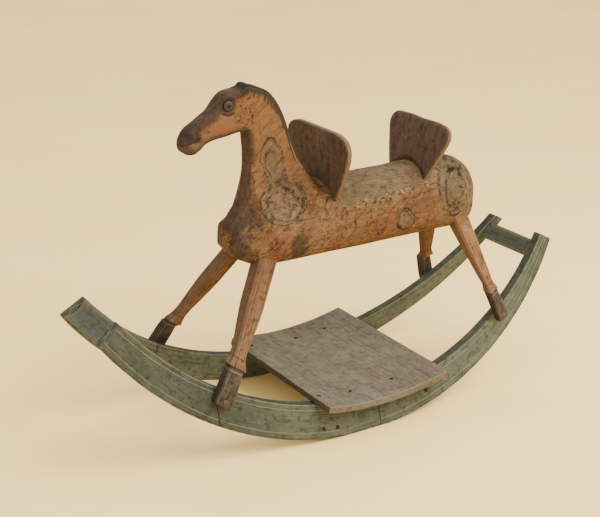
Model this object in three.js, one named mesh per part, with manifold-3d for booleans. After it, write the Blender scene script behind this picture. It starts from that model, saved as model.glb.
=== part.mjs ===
// Rocking horse: a log body on four splayed legs, pegged to a pair of built-up rockers.
// Millimetres, +X towards the head, +Y the horse's left, +Z up, rockers on z = 0.
import * as THREE from 'three';
import { mergeVertices } from 'three/addons/utils/BufferGeometryUtils.js';
import Module from 'manifold-3d';

const wasm = await Module();
wasm.setup();

const GAP = 0.3; // clearance left between pieces that touch
const FACET_LIFT = 0.4; // how far a facet may stand off the curve it follows
const SIDES = { left: 1, right: -1 };

// Rockers: boards that lean in towards each other at the top
const LEAN = THREE.MathUtils.degToRad(17.2);
const ROCKER_FOOT_Y = 210; // outer face where it meets the floor
const ROCKER_THICK = 25;
const BOTTOM_RADIUS = 757;
const BOTTOM_X = 20; // lowest point
const FLAT_LENGTH = 130; // worn flat the horse stands on
const TOP_RADIUS = 742;
const TOP_LOW = 75; // height of the upper edge above the flat, along the board
const FRONT_TIP_X = 600; // upper corners of the ends
const REAR_TIP_X = -590;
const FRONT_CUT = [50, -42]; // upper to lower corner of the front ends
const REAR_CUT = [-33, -25];
const SEAM_FRONT_X = 402; // joints between the three lengths of each rocker
const SEAM_REAR_X = -18;
const TIP_ROUND = 7;
const ROCKER_STEP = 42; // length of one facet along the curves

// Boards across the rockers
const CROSSBOARD_THICK = 26;
const CROSSBOARD_SCOOP = 7;
const CROSSBOARD_RIM = 9;
const CROSSBAR_X = -574;
const CROSSBAR_WIDTH = 46;
const CROSSBAR_THICK = 18;
const CROSSBAR_SINK = 9; // below the upper edge of the rockers
const FOOTBOARD_FRONT_X = 152;
const FOOTBOARD_REAR_X = -195;
const FOOTBOARD_HALF = 238;
const FOOTBOARD_THICK = 16;

// Body: a log with a round back and a flatter belly
const RUMP_X = -408;
const CHEST_X = 284;
const BODY_HALF = 91;
const BACK_Z = 572;
const SPRING_Z = 484; // height where the round back springs from the flanks
const BELLY_Z = 405;
const BELLY_ROUND = 42;
const RUMP_ROUND = 78;
const RUMP_DROP = 0.85; // how far the back and the belly round off, as shares of the rump's sides
const RUMP_RISE = 0.4;
const NOSE_LENGTH = 122; // the chest narrows to the plank over this length
const NOSE_LIP = 6; // and stops this far outside the plank
const SHOULDER_Z = 606; // where the shoulders run out against the neck
const SHOULDER_START_X = 52;
const SHOULDER_FULL_X = 96;
const FLARE_POWERS = [1.6, 1.15]; // shape of the hollow between the shoulder and the neck

// Neck and head: one plank let into a slot in the front of the body
const PLANK_THICK = 46;
const PLANK_CHAMFER = 6;
const SLOT_BACK_X = 78;
const MUZZLE_X = 393;
const MUZZLE_START_X = 285;
const MUZZLE_SCALE = 0.8; // muzzle thickness as a share of the plank
const EYE = { x: 281, z: 782, radius: 12.5, proud: 6 };
const BIT = { x: 330, z: 731, radius: 4.5, proud: 1.6 };

// Saddle boards
const BOARD_THICK = 13;
const POMMEL_X = 22;
const CANTLE_X = -244;
const CANTLE_LEAN = THREE.MathUtils.degToRad(18);
const CANTLE_PIVOT_Z = 560;

// Legs
const LEG_CHAMFER = 0.32; // share of the shorter half width

// Fasteners
const PEG_RADIUS = 4.5;
const PEG_DEPTH = 17; // into the rocker
const PEG_PROUD = 2; // past the hoof
const PEG_BEVEL = 1.5;
const NAIL_HEAD_RADIUS = 4.6;
const NAIL_HEAD = 2;
const NAIL_SHANK_RADIUS = 2;
const FOOTBOARD_NAIL_LENGTH = 42;
const ROCKER_NAIL_LENGTH = 20;
const NAIL_POINT = 5;
const FOOTBOARD_NAIL_Y = 169;
const FOOTBOARD_NAILS = [[1, 137], [1, 47], [1, -76], [-1, 120], [-1, -13], [-1, -103]]; // side, x
const ROCKER_NAILS = [[141, 30], [103, 25], [-160, 50]]; // x, z

const COLOURS = {
  body: 0xb08356,
  head: 0xa87447,
  leg: 0xa87a4e,
  board: 0x5f4436,
  rocker: 0x6f6e4e,
  crossboard: 0x63644a,
  footboard: 0x8e7d62,
  peg: 0x5a4a3a,
  iron: 0x4a423a,
  eye: 0x3c3a38,
};

const part = new THREE.Group();
part.name = 'rocking_horse';

function addPiece(name, solid, colour, roughness = 0.75, metalness = 0) {
  const mesh = solid.getMesh();
  const geometry = new THREE.BufferGeometry();
  geometry.setAttribute('position', new THREE.BufferAttribute(mesh.vertProperties, 3));
  geometry.setIndex(new THREE.BufferAttribute(mesh.triVerts, 1));
  const flat = geometry.toNonIndexed();
  flat.computeVertexNormals();
  const material = new THREE.MeshStandardMaterial({ color: colour, roughness, metalness });
  const piece = new THREE.Mesh(flat, material);
  piece.name = name;
  part.add(piece);
}

function toSolid(geometry) {
  const bare = geometry.clone();
  bare.deleteAttribute('normal');
  bare.deleteAttribute('uv');
  const welded = mergeVertices(bare, 1e-4);
  const mesh = new wasm.Mesh({
    numProp: 3,
    vertProperties: Float32Array.from(welded.attributes.position.array),
    triVerts: Uint32Array.from(welded.index.array),
  });
  return new wasm.Manifold(mesh);
}

// Closed solid through rings of points; both end rings are flat
function loft(rings) {
  const count = rings[0].length;
  const positions = rings.flat().flatMap((p) => [p[0], p[1], p[2]]);
  const index = [];
  for (let r = 0; r + 1 < rings.length; r += 1) {
    for (let i = 0; i < count; i += 1) {
      const a = r * count + i;
      const b = r * count + ((i + 1) % count);
      index.push(a, b, b + count, a, b + count, a + count);
    }
  }
  const last = (rings.length - 1) * count;
  for (const [a, b, c] of capTriangles(rings[0])) {
    index.push(a, c, b);
  }
  for (const [a, b, c] of capTriangles(rings[rings.length - 1])) {
    index.push(last + a, last + b, last + c);
  }
  const geometry = new THREE.BufferGeometry();
  geometry.setAttribute('position', new THREE.Float32BufferAttribute(positions, 3));
  geometry.setIndex(index);
  if (signedVolume(positions, index) < 0) {
    geometry.setIndex(index.map((_, i) => index[i - (i % 3) + (2 - (i % 3))]));
  }
  return toSolid(geometry);
}

// Triangles of a flat ring, wound the way the ring runs
function capTriangles(ring) {
  const normal = new THREE.Vector3();
  ring.forEach((p, i) => {
    const q = ring[(i + 1) % ring.length];
    normal.x += (p[1] - q[1]) * (p[2] + q[2]);
    normal.y += (p[2] - q[2]) * (p[0] + q[0]);
    normal.z += (p[0] - q[0]) * (p[1] + q[1]);
  });
  normal.normalize();
  const across = new THREE.Vector3(normal.y, normal.z, normal.x).cross(normal).normalize();
  const up = normal.clone().cross(across);
  const flat = ring.map((p) => {
    const v = new THREE.Vector3(...p);
    return new THREE.Vector2(v.dot(across), v.dot(up));
  });
  return THREE.ShapeUtils.triangulateShape(flat, []).map(([a, b, c]) => {
    const turn = flat[b].clone().sub(flat[a]).cross(flat[c].clone().sub(flat[a]));
    return turn > 0 ? [a, b, c] : [a, c, b];
  });
}

function signedVolume(positions, index) {
  const corner = (i) => new THREE.Vector3(...positions.slice(3 * i, 3 * i + 3));
  let volume = 0;
  for (let i = 0; i < index.length; i += 3) {
    volume += corner(index[i]).dot(corner(index[i + 1]).cross(corner(index[i + 2])));
  }
  return volume;
}

// Round bar along an axis, with any number of [distance, radius] steps
function turned(steps, origin, direction, segments = 20) {
  const lathe = new THREE.LatheGeometry(
    steps.map(([along, radius]) => new THREE.Vector2(radius, along)),
    segments,
  );
  const axis = new THREE.Vector3(...direction).normalize();
  const upright = new THREE.Vector3(0, 1, 0);
  lathe.applyQuaternion(new THREE.Quaternion().setFromUnitVectors(upright, axis));
  lathe.translate(...origin);
  return toSolid(lathe);
}

function spread(from, to, step) {
  const count = Math.max(1, Math.round(Math.abs(to - from) / step));
  return Array.from({ length: count + 1 }, (_, i) => from + ((to - from) * i) / count);
}

// ---------------------------------------------------------------- rockers

const FLAT_SAG = BOTTOM_RADIUS - Math.sqrt(BOTTOM_RADIUS ** 2 - (FLAT_LENGTH / 2) ** 2);

// Heights along the leaning board
function bottomRise(x) {
  const rise = BOTTOM_RADIUS - Math.sqrt(BOTTOM_RADIUS ** 2 - (x - BOTTOM_X) ** 2);
  return Math.max(0, rise - FLAT_SAG);
}

function topRise(x) {
  return TOP_LOW + TOP_RADIUS - Math.sqrt(TOP_RADIUS ** 2 - x ** 2);
}

const rockerZ = (rise) => rise * Math.cos(LEAN);
const outerY = (z) => ROCKER_FOOT_Y - z * Math.tan(LEAN);
const innerY = (z) => outerY(z) - ROCKER_THICK / Math.cos(LEAN);
const frontTop = [FRONT_TIP_X, topRise(FRONT_TIP_X)];
const rearTop = [REAR_TIP_X, topRise(REAR_TIP_X)];
const along = ([x, rise], [dx, dRise], share) => [x + dx * share, rise + dRise * share];

// Where an end cut meets the lower curve
function cutFoot(top, cut) {
  let low = 0;
  let high = 3;
  for (let i = 0; i < 40; i += 1) {
    const middle = (low + high) / 2;
    const [x, rise] = along(top, cut, middle);
    if (rise > bottomRise(x)) {
      low = middle;
    } else {
      high = middle;
    }
  }
  return along(top, cut, low);
}

function roundedTip(top, cut, inward) {
  const size = Math.hypot(...cut);
  const slope = Math.asin(Math.abs(top[0]) / TOP_RADIUS);
  const back = [inward * Math.cos(slope), -Math.sin(slope)];
  const down = [cut[0] / size, cut[1] / size];
  return [0, 30, 60, 90].map((degrees) => {
    const angle = THREE.MathUtils.degToRad(degrees);
    const u = TIP_ROUND * (1 - Math.sin(angle));
    const v = TIP_ROUND * (1 - Math.cos(angle));
    return [top[0] + back[0] * u + down[0] * v, top[1] + back[1] * u + down[1] * v];
  });
}

const frontFoot = cutFoot(frontTop, FRONT_CUT);
const rearFoot = cutFoot(rearTop, REAR_CUT);
const flatFront = BOTTOM_X + FLAT_LENGTH / 2;
const flatRear = BOTTOM_X - FLAT_LENGTH / 2;

function bottomRun(from, to) {
  const stops = [from];
  if (flatFront < from && flatFront > to) {
    stops.push(flatFront);
  }
  if (flatRear < from && flatRear > to) {
    stops.push(flatRear);
  }
  stops.push(to);
  const xs = [];
  stops.slice(1).forEach((stop, i) => {
    const level = stops[i] <= flatFront && stop >= flatRear;
    xs.push(...(level ? [stops[i], stop] : spread(stops[i], stop, ROCKER_STEP)));
  });
  return [...new Set(xs)].map((x) => [x, bottomRise(x)]);
}

const topRun = (from, to) => spread(from, to, ROCKER_STEP).map((x) => [x, topRise(x)]);

const rockerOutlines = {
  front: [
    ...topRun(SEAM_FRONT_X + GAP / 2, FRONT_TIP_X - 2 * TIP_ROUND),
    ...roundedTip(frontTop, FRONT_CUT, -1),
    ...bottomRun(frontFoot[0], SEAM_FRONT_X + GAP / 2),
  ],
  middle: [
    ...topRun(SEAM_REAR_X + GAP / 2, SEAM_FRONT_X - GAP / 2),
    ...bottomRun(SEAM_FRONT_X - GAP / 2, SEAM_REAR_X + GAP / 2),
  ],
  rear: [
    ...roundedTip(rearTop, REAR_CUT, 1).reverse(),
    ...topRun(REAR_TIP_X + 2 * TIP_ROUND, SEAM_REAR_X - GAP / 2),
    ...bottomRun(SEAM_REAR_X - GAP / 2, rearFoot[0]),
  ],
};

function rockerLength(outline, side) {
  const ring = (face) => outline.map(([x, rise]) => {
    const z = rockerZ(rise);
    return [x, side * face(z), z];
  });
  return loft([ring(outerY), ring(innerY)]);
}

// Prism that fills the width between the two rockers
function betweenRockers(outline) {
  const ring = (side) => outline.map(([x, rise]) => {
    const z = rockerZ(rise);
    return [x, side * (innerY(z) - GAP), z];
  });
  return loft([ring(1), ring(-1)]);
}

// ---------------------------------------------------------------- boards between the rockers

function frontCrossboard() {
  const size = Math.hypot(...FRONT_CUT);
  const down = FRONT_CUT.map((value) => value / size);
  const back = [down[1], -down[0]];
  const depth = Math.hypot(frontFoot[0] - frontTop[0], frontFoot[1] - frontTop[1]);
  const at = (u, v) => [
    frontTop[0] + down[0] * u + back[0] * v,
    frontTop[1] + down[1] * u + back[1] * v,
  ];
  const scoop = [0, 1, 2, 3, 4, 5, 6].map((i) => {
    const share = i / 6;
    const u = CROSSBOARD_RIM + (depth - 2 * CROSSBOARD_RIM) * share;
    return at(u, CROSSBOARD_SCOOP * Math.sin(Math.PI * share));
  });
  return betweenRockers([
    at(3, 0),
    ...scoop,
    at(depth - 3, 0),
    at(depth - 3, CROSSBOARD_THICK),
    at(3, CROSSBOARD_THICK),
  ]);
}

function rearCrossbar() {
  const slope = Math.asin(-CROSSBAR_X / TOP_RADIUS);
  const onward = [Math.cos(slope), -Math.sin(slope)];
  const down = [-Math.sin(slope), -Math.cos(slope)];
  const start = [CROSSBAR_X, topRise(CROSSBAR_X)];
  const at = (u, v) => [
    start[0] + onward[0] * u + down[0] * (v + CROSSBAR_SINK),
    start[1] + onward[1] * u + down[1] * (v + CROSSBAR_SINK),
  ];
  return betweenRockers([
    at(0, 0),
    at(CROSSBAR_WIDTH, 0),
    at(CROSSBAR_WIDTH, CROSSBAR_THICK),
    at(0, CROSSBAR_THICK),
  ]);
}

const rockerTopZ = (x) => rockerZ(topRise(x));

function footboardSurface(x, lift) {
  const slope = (rockerTopZ(x + 1) - rockerTopZ(x - 1)) / 2;
  const size = Math.hypot(1, slope);
  return [x - (slope / size) * lift, rockerTopZ(x) + lift / size];
}

function footboardBlank() {
  const xs = spread(FOOTBOARD_REAR_X, FOOTBOARD_FRONT_X, ROCKER_STEP);
  const outline = [
    ...xs.map((x) => footboardSurface(x, GAP + FACET_LIFT)),
    ...xs.reverse().map((x) => footboardSurface(x, GAP + FACET_LIFT + FOOTBOARD_THICK)),
  ];
  const ring = (y) => outline.map(([x, z]) => [x, y, z]);
  return loft([ring(FOOTBOARD_HALF), ring(-FOOTBOARD_HALF)]);
}

// ---------------------------------------------------------------- body

// Front of the plank and of the chest: [x, z] from the belly up to the throat
const CHEST_LINE = [
  [222, 405],
  [250, 412],
  [271, 425],
  [283, 441],
  [287, 460],
  [279, 496],
  [263, 520],
  [243, 548],
  [231, 587],
  [227, 626],
  [227, 668],
];

function heightAlong(line, x) {
  for (let i = 0; i + 1 < line.length; i += 1) {
    const [x0, z0] = line[i];
    const [x1, z1] = line[i + 1];
    if ((x - x0) * (x - x1) <= 0) {
      return z0 + ((z1 - z0) * (x - x0)) / (x1 - x0);
    }
  }
  return null;
}

const chestTop = (x) => heightAlong(CHEST_LINE.slice(4, 9), Math.min(x, 287)) ?? Infinity;
const chestUnder = (x) => heightAlong(CHEST_LINE.slice(0, 5), x) ?? BELLY_Z;

const smooth = (x, from, to) => THREE.MathUtils.smoothstep(x, from, to);

// Cross-section of the log at x, swollen by `grow`
function bodyRing(x, grow = 0) {
  const rumpDepth = Math.max(0, RUMP_X + RUMP_ROUND - x) / RUMP_ROUND;
  const noseDepth = Math.max(0, x - CHEST_X + NOSE_LENGTH) / NOSE_LENGTH;
  const quarter = (depth) => 1 - Math.sqrt(Math.max(0, 1 - depth ** 2));
  const inset = RUMP_ROUND * quarter(rumpDepth);
  const narrowing = (BODY_HALF - PLANK_THICK / 2 - NOSE_LIP) * quarter(noseDepth);
  const half = BODY_HALF - inset - narrowing + grow;
  const shoulder = smooth(x, SHOULDER_START_X, SHOULDER_FULL_X);
  const ridge = Math.min(BACK_Z + (SHOULDER_Z - BACK_Z) * shoulder, chestTop(x + 6));
  const top = ridge - inset * RUMP_DROP + grow;
  const belly = chestUnder(x + 2) + inset * RUMP_RISE - grow;
  const round = Math.min(BELLY_ROUND, half - 4, (top - belly) * 0.4);
  const spring = Math.max(belly + round + 3, Math.min(SPRING_Z, top - 20));
  const neckHalf = Math.min(PLANK_THICK / 2 + 1, half - 2);
  const side = [];
  side.push([half - round, belly]);
  for (const degrees of [22.5, 45, 67.5, 90]) {
    const angle = THREE.MathUtils.degToRad(degrees);
    side.push([half - round + round * Math.sin(angle), belly + round * (1 - Math.cos(angle))]);
  }
  for (const degrees of [15, 30, 45, 58, 70, 81]) {
    const rise = Math.sin(THREE.MathUtils.degToRad(degrees));
    const barrel = half * Math.cos(THREE.MathUtils.degToRad(degrees));
    const flare = neckHalf + (half - neckHalf) * (1 - rise ** FLARE_POWERS[0]) ** FLARE_POWERS[1];
    side.push([barrel + (flare - barrel) * shoulder, spring + (top - spring) * rise]);
  }
  const mirrored = side.map(([y, z]) => [-y, z]).reverse();
  return [...side, [0, top], ...mirrored].map(([y, z]) => [x, y, z]);
}

function bodyBlank(grow = 0) {
  const rumpXs = [0.5, 3, 9, 20, 36, 56, 78].map((inset) => RUMP_X + inset - 0.5);
  const middleXs = [-250, -100, 0, 52, 63, 74, 85, 96, 150, 200, 226];
  const chestXs = [236, 248, 258, 266, 272, 277, 281, 283.5];
  return loft([...rumpXs, ...middleXs, ...chestXs].map((x) => bodyRing(x, grow)));
}

// ---------------------------------------------------------------- neck and head

// Outline from the throat over the muzzle and the poll down the back of the neck
const HEAD_LINE = [
  [230, 706],
  [238, 716],
  [256, 716],
  [284, 711],
  [314, 707],
  [334, 700],
  [350, 687],
  [364, 680],
  [380, 682],
  [391, 692],
  [393, 706],
  [389, 720],
  [376, 737],
  [352, 751],
  [334, 762],
  [319, 771],
  [303, 790],
  [282, 807],
  [256, 812],
  [241, 816],
  [234, 822],
  [224, 822],
  [214, 817],
  [197, 812],
  [171, 797],
  [147, 765],
  [128, 723],
  [114, 673],
  [97, 628],
  [83, 600],
];

function insetOutline(outline, distance) {
  return outline.map((point, i) => {
    const before = outline[(i + outline.length - 1) % outline.length];
    const after = outline[(i + 1) % outline.length];
    const tangent = new THREE.Vector2(after[0] - before[0], after[1] - before[1]).normalize();
    return [point[0] - tangent.y * distance, point[1] + tangent.x * distance];
  });
}

function neckAndHead() {
  const tongue = [
    [SLOT_BACK_X + GAP, 588],
    [SLOT_BACK_X + GAP, BELLY_Z],
  ];
  const outline = [...CHEST_LINE, ...HEAD_LINE, ...tongue];
  const inner = insetOutline(outline, PLANK_CHAMFER * 0.8);
  const slim = (x) => 1 - (1 - MUZZLE_SCALE) * smooth(x, MUZZLE_START_X, MUZZLE_X);
  const ring = (shape, y) => shape.map(([x, z]) => [x, y * slim(x), z]);
  const half = PLANK_THICK / 2;
  const edge = half - PLANK_CHAMFER;
  return loft([ring(inner, -half), ring(outline, -edge), ring(outline, edge), ring(inner, half)]);
}

function box(low, high) {
  const size = high.map((value, i) => value - low[i]);
  const geometry = new THREE.BoxGeometry(...size);
  geometry.translate(...low.map((value, i) => value + size[i] / 2));
  return toSolid(geometry);
}

function eyeBead(side) {
  const seat = PLANK_THICK / 2 + GAP;
  const dome = [0, 0.25, 0.5, 0.75, 1].map((share) => {
    const angle = (share * Math.PI) / 2;
    return [EYE.proud * Math.sin(angle), EYE.radius * Math.cos(angle)];
  });
  return turned([[0, 0], ...dome], [EYE.x, side * seat, EYE.z], [0, side, 0]);
}

function bitPeg(grow = 0, proud = BIT.proud) {
  const half = PLANK_THICK / 2 + proud;
  const radius = BIT.radius + grow;
  const steps = [[0, 0], [0, radius], [2 * half, radius], [2 * half, 0]];
  return turned(steps, [BIT.x, -half, BIT.z], [0, 1, 0], 16);
}

// ---------------------------------------------------------------- saddle boards

// Half outline of the boards: [distance from the middle, height above the body's belly]
const POMMEL_LINE = [
  [78, 132],
  [86, 143],
  [101, 171],
  [117, 206],
  [127, 234],
  [128, 252],
  [120, 269],
  [99, 283],
  [70, 289],
  [30, 290],
  [0, 290],
];
const CANTLE_LINE = [
  [66, 130],
  [76, 142],
  [90, 171],
  [104, 203],
  [114, 229],
  [117, 246],
  [109, 260],
  [91, 270],
  [66, 273],
  [30, 273],
  [0, 272],
];

function saddleBoard(line, middleDip, x, lean) {
  const half = line.map(([y, h]) => [y, BELLY_Z + h]);
  const outline = [
    ...half,
    [0, BELLY_Z + middleDip],
    ...half.map(([y, z]) => [-y, z]).reverse(),
  ];
  const blank = loft([0, BOARD_THICK].map((depth) => outline.map(([y, z]) => {
    const h = z - CANTLE_PIVOT_Z;
    return [
      x + depth * Math.cos(lean) - h * Math.sin(lean),
      y,
      CANTLE_PIVOT_Z + h * Math.cos(lean) + depth * Math.sin(lean),
    ];
  })));
  return blank.subtract(bodyBlank(GAP));
}

// ---------------------------------------------------------------- legs

// Levels of the left legs from the top down. `top` is where the middle line meets the belly and
// `run` how far it moves in x and y for each millimetre up; `tilt` is the slope of the rims.
// shank: [height, half length, half width]; hoof: [height, middle, half length, thickness].
// The inner face of a hoof lies along the outer face of the rocker. `rightShift` is how much
// further forward the right leg stands than the left one.
const LEGS = {
  front: {
    top: [228, 70, 401],
    run: [-0.67, -0.461],
    tilt: 0.66,
    shank: [
      [440, 25.5, 22.5],
      [400, 25.5, 23.5],
      [330, 25, 22.5],
      [295, 21.5, 19.5],
      [262, 17.5, 16],
      [246, 17, 15.6],
      [234, 20, 17.5],
      [222, 26, 20.5],
    ],
    hoof: [
      [218, 354.7, 21.5, 33],
      [196, 367.8, 24.5, 31],
      [172, 382.2, 26.5, 27],
      [150, 395.3, 27, 22.5],
      [146, 397.7, 25.5, 21],
    ],
    peg: [391, 152],
    rightShift: 0,
  },
  rear: {
    top: [-342, 75, 412],
    run: [0.31, -0.425],
    tilt: -0.45,
    shank: [
      [440, 25, 24],
      [405, 24, 23],
      [340, 19, 18],
      [290, 15, 15],
      [270, 13, 13],
      [262, 13.5, 14],
      [251, 17, 18],
    ],
    hoof: [
      [248, -389, 14, 32],
      [225, -398, 15.8, 31],
      [205, -405, 17, 28],
      [180, -414, 17.5, 24],
      [176, -415.5, 16.5, 22.5],
    ],
    peg: [-412, 181],
    rightShift: -14,
  },
};

function chamfered(back, front, inner, outer) {
  const c = (LEG_CHAMFER * Math.min(front - back, outer - inner)) / 2;
  return [
    [front, inner + c],
    [front, outer - c],
    [front - c, outer],
    [back + c, outer],
    [back, outer - c],
    [back, inner + c],
    [back + c, inner],
    [front - c, inner],
  ];
}

// How far up the leg a corner sits so that the rims slope
const rimLift = (dx, { run, tilt }) => (tilt * dx) / (1 - tilt * run[0]);

const shiftOf = (spec, side) => (side < 0 ? spec.rightShift : 0);

function shankRing([z, halfX, halfY], spec, side, grow = 0) {
  const { top, run } = spec;
  const middle = top[0] + shiftOf(spec, side);
  const a = halfX + grow;
  const b = halfY + grow;
  return chamfered(-a, a, -b, b).map(([dx, dy]) => {
    const height = z + grow + rimLift(dx, spec);
    const rise = height - top[2];
    return [middle + dx + run[0] * rise, side * (top[1] + dy + run[1] * rise), height];
  });
}

function hoofRing([z, leftMiddle, half, thick], spec, side) {
  const middle = leftMiddle + shiftOf(spec, side);
  return chamfered(-half, half, 0, thick).map(([dx, dy]) => {
    const lift = rimLift(dx, spec);
    const y = outerY(z + lift) + GAP + dy;
    return [middle + dx + spec.run[0] * lift, side * y, z + lift];
  });
}

function leg(spec, side) {
  const shank = spec.shank.map((level) => shankRing(level, spec, side));
  const hoof = spec.hoof.map((level) => hoofRing(level, spec, side));
  return loft([...shank, ...hoof]);
}

// The part of the leg that is housed in the body, swollen by the clearance
function legHousing(spec, side) {
  const [upper, lower] = spec.shank;
  const deep = [lower[0] - 30, lower[1], lower[2]];
  return loft([upper, lower, deep].map((level) => shankRing(level, spec, side, GAP)));
}

function legPeg(spec, side, grow = 0) {
  const [x, z] = spec.peg;
  const [, , , thick] = spec.hoof.find(([height]) => height < z + PEG_PROUD);
  const outward = [0, side * Math.cos(LEAN), Math.sin(LEAN)];
  const reach = thick * Math.cos(LEAN) + PEG_PROUD;
  const radius = PEG_RADIUS + grow;
  const length = reach + PEG_DEPTH + 2 * grow;
  const foot = [x + shiftOf(spec, side), side * outerY(z), z];
  const start = foot.map((v, i) => v - outward[i] * (PEG_DEPTH + grow));
  const end = length - PEG_BEVEL;
  const steps = [[0, 0], [0, radius], [end, radius], [length, radius - PEG_BEVEL], [length, 0]];
  return turned(steps, start, outward, 14);
}

// ---------------------------------------------------------------- nails

function nail(head, inward, length, grow = 0) {
  const shank = NAIL_SHANK_RADIUS + grow;
  const hole = [
    [-NAIL_HEAD, 0],
    [-NAIL_HEAD, shank],
    [length + grow, shank],
    [length + grow, 0],
  ];
  const pin = [
    [-NAIL_HEAD - GAP, 0],
    [-NAIL_HEAD - GAP, NAIL_HEAD_RADIUS * 0.75],
    [-NAIL_HEAD / 2 - GAP, NAIL_HEAD_RADIUS],
    [-GAP, NAIL_HEAD_RADIUS],
    [-GAP, shank],
    [length - NAIL_POINT, shank],
    [length, 0],
  ];
  return turned(grow > 0 ? hole : pin, head, inward, 10);
}

function footboardNail([side, x], grow = 0) {
  const lift = GAP + 2 * FACET_LIFT + FOOTBOARD_THICK;
  const [sx, sz] = footboardSurface(x, lift);
  const [bx, bz] = footboardSurface(x, 0);
  const inward = [bx - sx, 0, bz - sz].map((v) => v / lift);
  return nail([sx, side * FOOTBOARD_NAIL_Y, sz], inward, FOOTBOARD_NAIL_LENGTH, grow);
}

function rockerNail([x, z], grow = 0) {
  const inward = [0, -Math.cos(LEAN), -Math.sin(LEAN)];
  return nail([x, outerY(z), z], inward, ROCKER_NAIL_LENGTH, grow);
}

// ---------------------------------------------------------------- assembly

const less = (solid, cutters) => cutters.reduce((rest, cutter) => rest.subtract(cutter), solid);
const sides = Object.entries(SIDES);
const ends = Object.entries(LEGS);

const slot = box(
  [SLOT_BACK_X, -PLANK_THICK / 2 - GAP, BELLY_Z - 20],
  [CHEST_X + 20, PLANK_THICK / 2 + GAP, SHOULDER_Z + 20],
);
const housings = sides.flatMap(([, side]) => ends.map(([, spec]) => legHousing(spec, side)));
addPiece('body_log', less(bodyBlank(), [slot, ...housings]), COLOURS.body);
addPiece('neck_and_head', neckAndHead().subtract(bitPeg(GAP, 10)), COLOURS.head);
addPiece('bit_peg', bitPeg(), COLOURS.peg);
addPiece('saddle_board_front', saddleBoard(POMMEL_LINE, 288, POMMEL_X, 0), COLOURS.board);
addPiece('saddle_board_rear', saddleBoard(CANTLE_LINE, 269, CANTLE_X, CANTLE_LEAN), COLOURS.board);
addPiece('front_crossboard', frontCrossboard(), COLOURS.crossboard);
addPiece('rear_crossbar', rearCrossbar(), COLOURS.crossboard);
const footboardHoles = FOOTBOARD_NAILS.map((spot) => footboardNail(spot, GAP));
addPiece('footboard', less(footboardBlank(), footboardHoles), COLOURS.footboard, 0.85);
FOOTBOARD_NAILS.forEach((spot, i) => {
  addPiece(`footboard_nail_${i + 1}`, footboardNail(spot), COLOURS.iron, 0.6, 0.6);
});
ROCKER_NAILS.forEach((spot, i) => {
  addPiece(`rocker_nail_${i + 1}`, rockerNail(spot), COLOURS.iron, 0.6, 0.6);
});

for (const [sideName, side] of sides) {
  addPiece(`eye_${sideName}`, eyeBead(side), COLOURS.eye, 0.4);
  const holes = [
    ...ends.map(([, spec]) => legPeg(spec, side, GAP)),
    ...footboardHoles,
    ...(side > 0 ? ROCKER_NAILS.map((spot) => rockerNail(spot, GAP)) : []),
  ];
  for (const [lengthName, outline] of Object.entries(rockerOutlines)) {
    const solid = less(rockerLength(outline, side), holes);
    addPiece(`rocker_${sideName}_${lengthName}`, solid, COLOURS.rocker);
  }
  for (const [endName, spec] of ends) {
    const solid = leg(spec, side).subtract(legPeg(spec, side, GAP));
    addPiece(`leg_${endName}_${sideName}`, solid, COLOURS.leg);
    addPiece(`leg_peg_${endName}_${sideName}`, legPeg(spec, side), COLOURS.peg);
  }
}

// The origin is the middle of the footprint
const bounds = new THREE.Box3().setFromObject(part);
const middleX = (bounds.min.x + bounds.max.x) / 2;
part.children.forEach((piece) => piece.geometry.translate(-middleX, 0, -bounds.min.z));

export default part;
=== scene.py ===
# Painted wooden rocking horse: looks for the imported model, in metres, in the model's own frame.
# Shapes are drawn in millimetres, with x counted from the middle of the rockers' curve.
import math

import bmesh
import bpy
import numpy as np
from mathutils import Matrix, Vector, noise
from mathutils.geometry import delaunay_2d_cdt


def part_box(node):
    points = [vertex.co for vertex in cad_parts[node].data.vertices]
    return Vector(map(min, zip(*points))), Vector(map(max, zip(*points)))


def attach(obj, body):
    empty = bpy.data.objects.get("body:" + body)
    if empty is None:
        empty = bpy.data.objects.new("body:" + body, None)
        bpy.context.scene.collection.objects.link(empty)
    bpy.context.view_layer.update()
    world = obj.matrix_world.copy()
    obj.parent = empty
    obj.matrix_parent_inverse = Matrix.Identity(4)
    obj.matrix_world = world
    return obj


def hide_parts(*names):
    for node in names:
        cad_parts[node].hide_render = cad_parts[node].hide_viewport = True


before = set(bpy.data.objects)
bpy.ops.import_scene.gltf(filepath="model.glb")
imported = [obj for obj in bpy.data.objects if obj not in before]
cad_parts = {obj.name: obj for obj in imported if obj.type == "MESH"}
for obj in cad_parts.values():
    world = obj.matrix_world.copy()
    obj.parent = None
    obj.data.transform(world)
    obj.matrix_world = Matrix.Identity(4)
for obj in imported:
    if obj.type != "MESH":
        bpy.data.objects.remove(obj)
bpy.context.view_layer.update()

MM = 0.001
POMMEL_X = 22.0
SHIFT_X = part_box("saddle_board_front")[0][0] / MM - POMMEL_X
TOUCH = 0.3  # clearance between pieces that touch


# ---------------------------------------------------------------- small sums

def blend(a, b, share):
    return a + (b - a) * share


def clamp(value, low=0.0, high=1.0):
    return max(low, min(high, value))


def smooth(value, low, high):
    share = clamp((value - low) / (high - low))
    return share * share * (3 - 2 * share)


def spaced(start, stop, step):
    """Evenly spaced values from start to stop, about step apart."""
    count = max(1, round(abs(stop - start) / step))
    return [blend(start, stop, i / count) for i in range(count + 1)]


def reading(table, key):
    """Columns of a table of rows, read off between rows at a value of the first column."""
    columns = np.array(sorted(table))
    return [float(np.interp(key, columns[:, 0], columns[:, i])) for i in range(1, columns.shape[1])]


def waver(x, y, z, size, seed=0.0):
    """Smooth noise of about -1 to 1 whose lumps are about size across."""
    return noise.noise(Vector((x / size + seed, y / size, z / size)))


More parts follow.
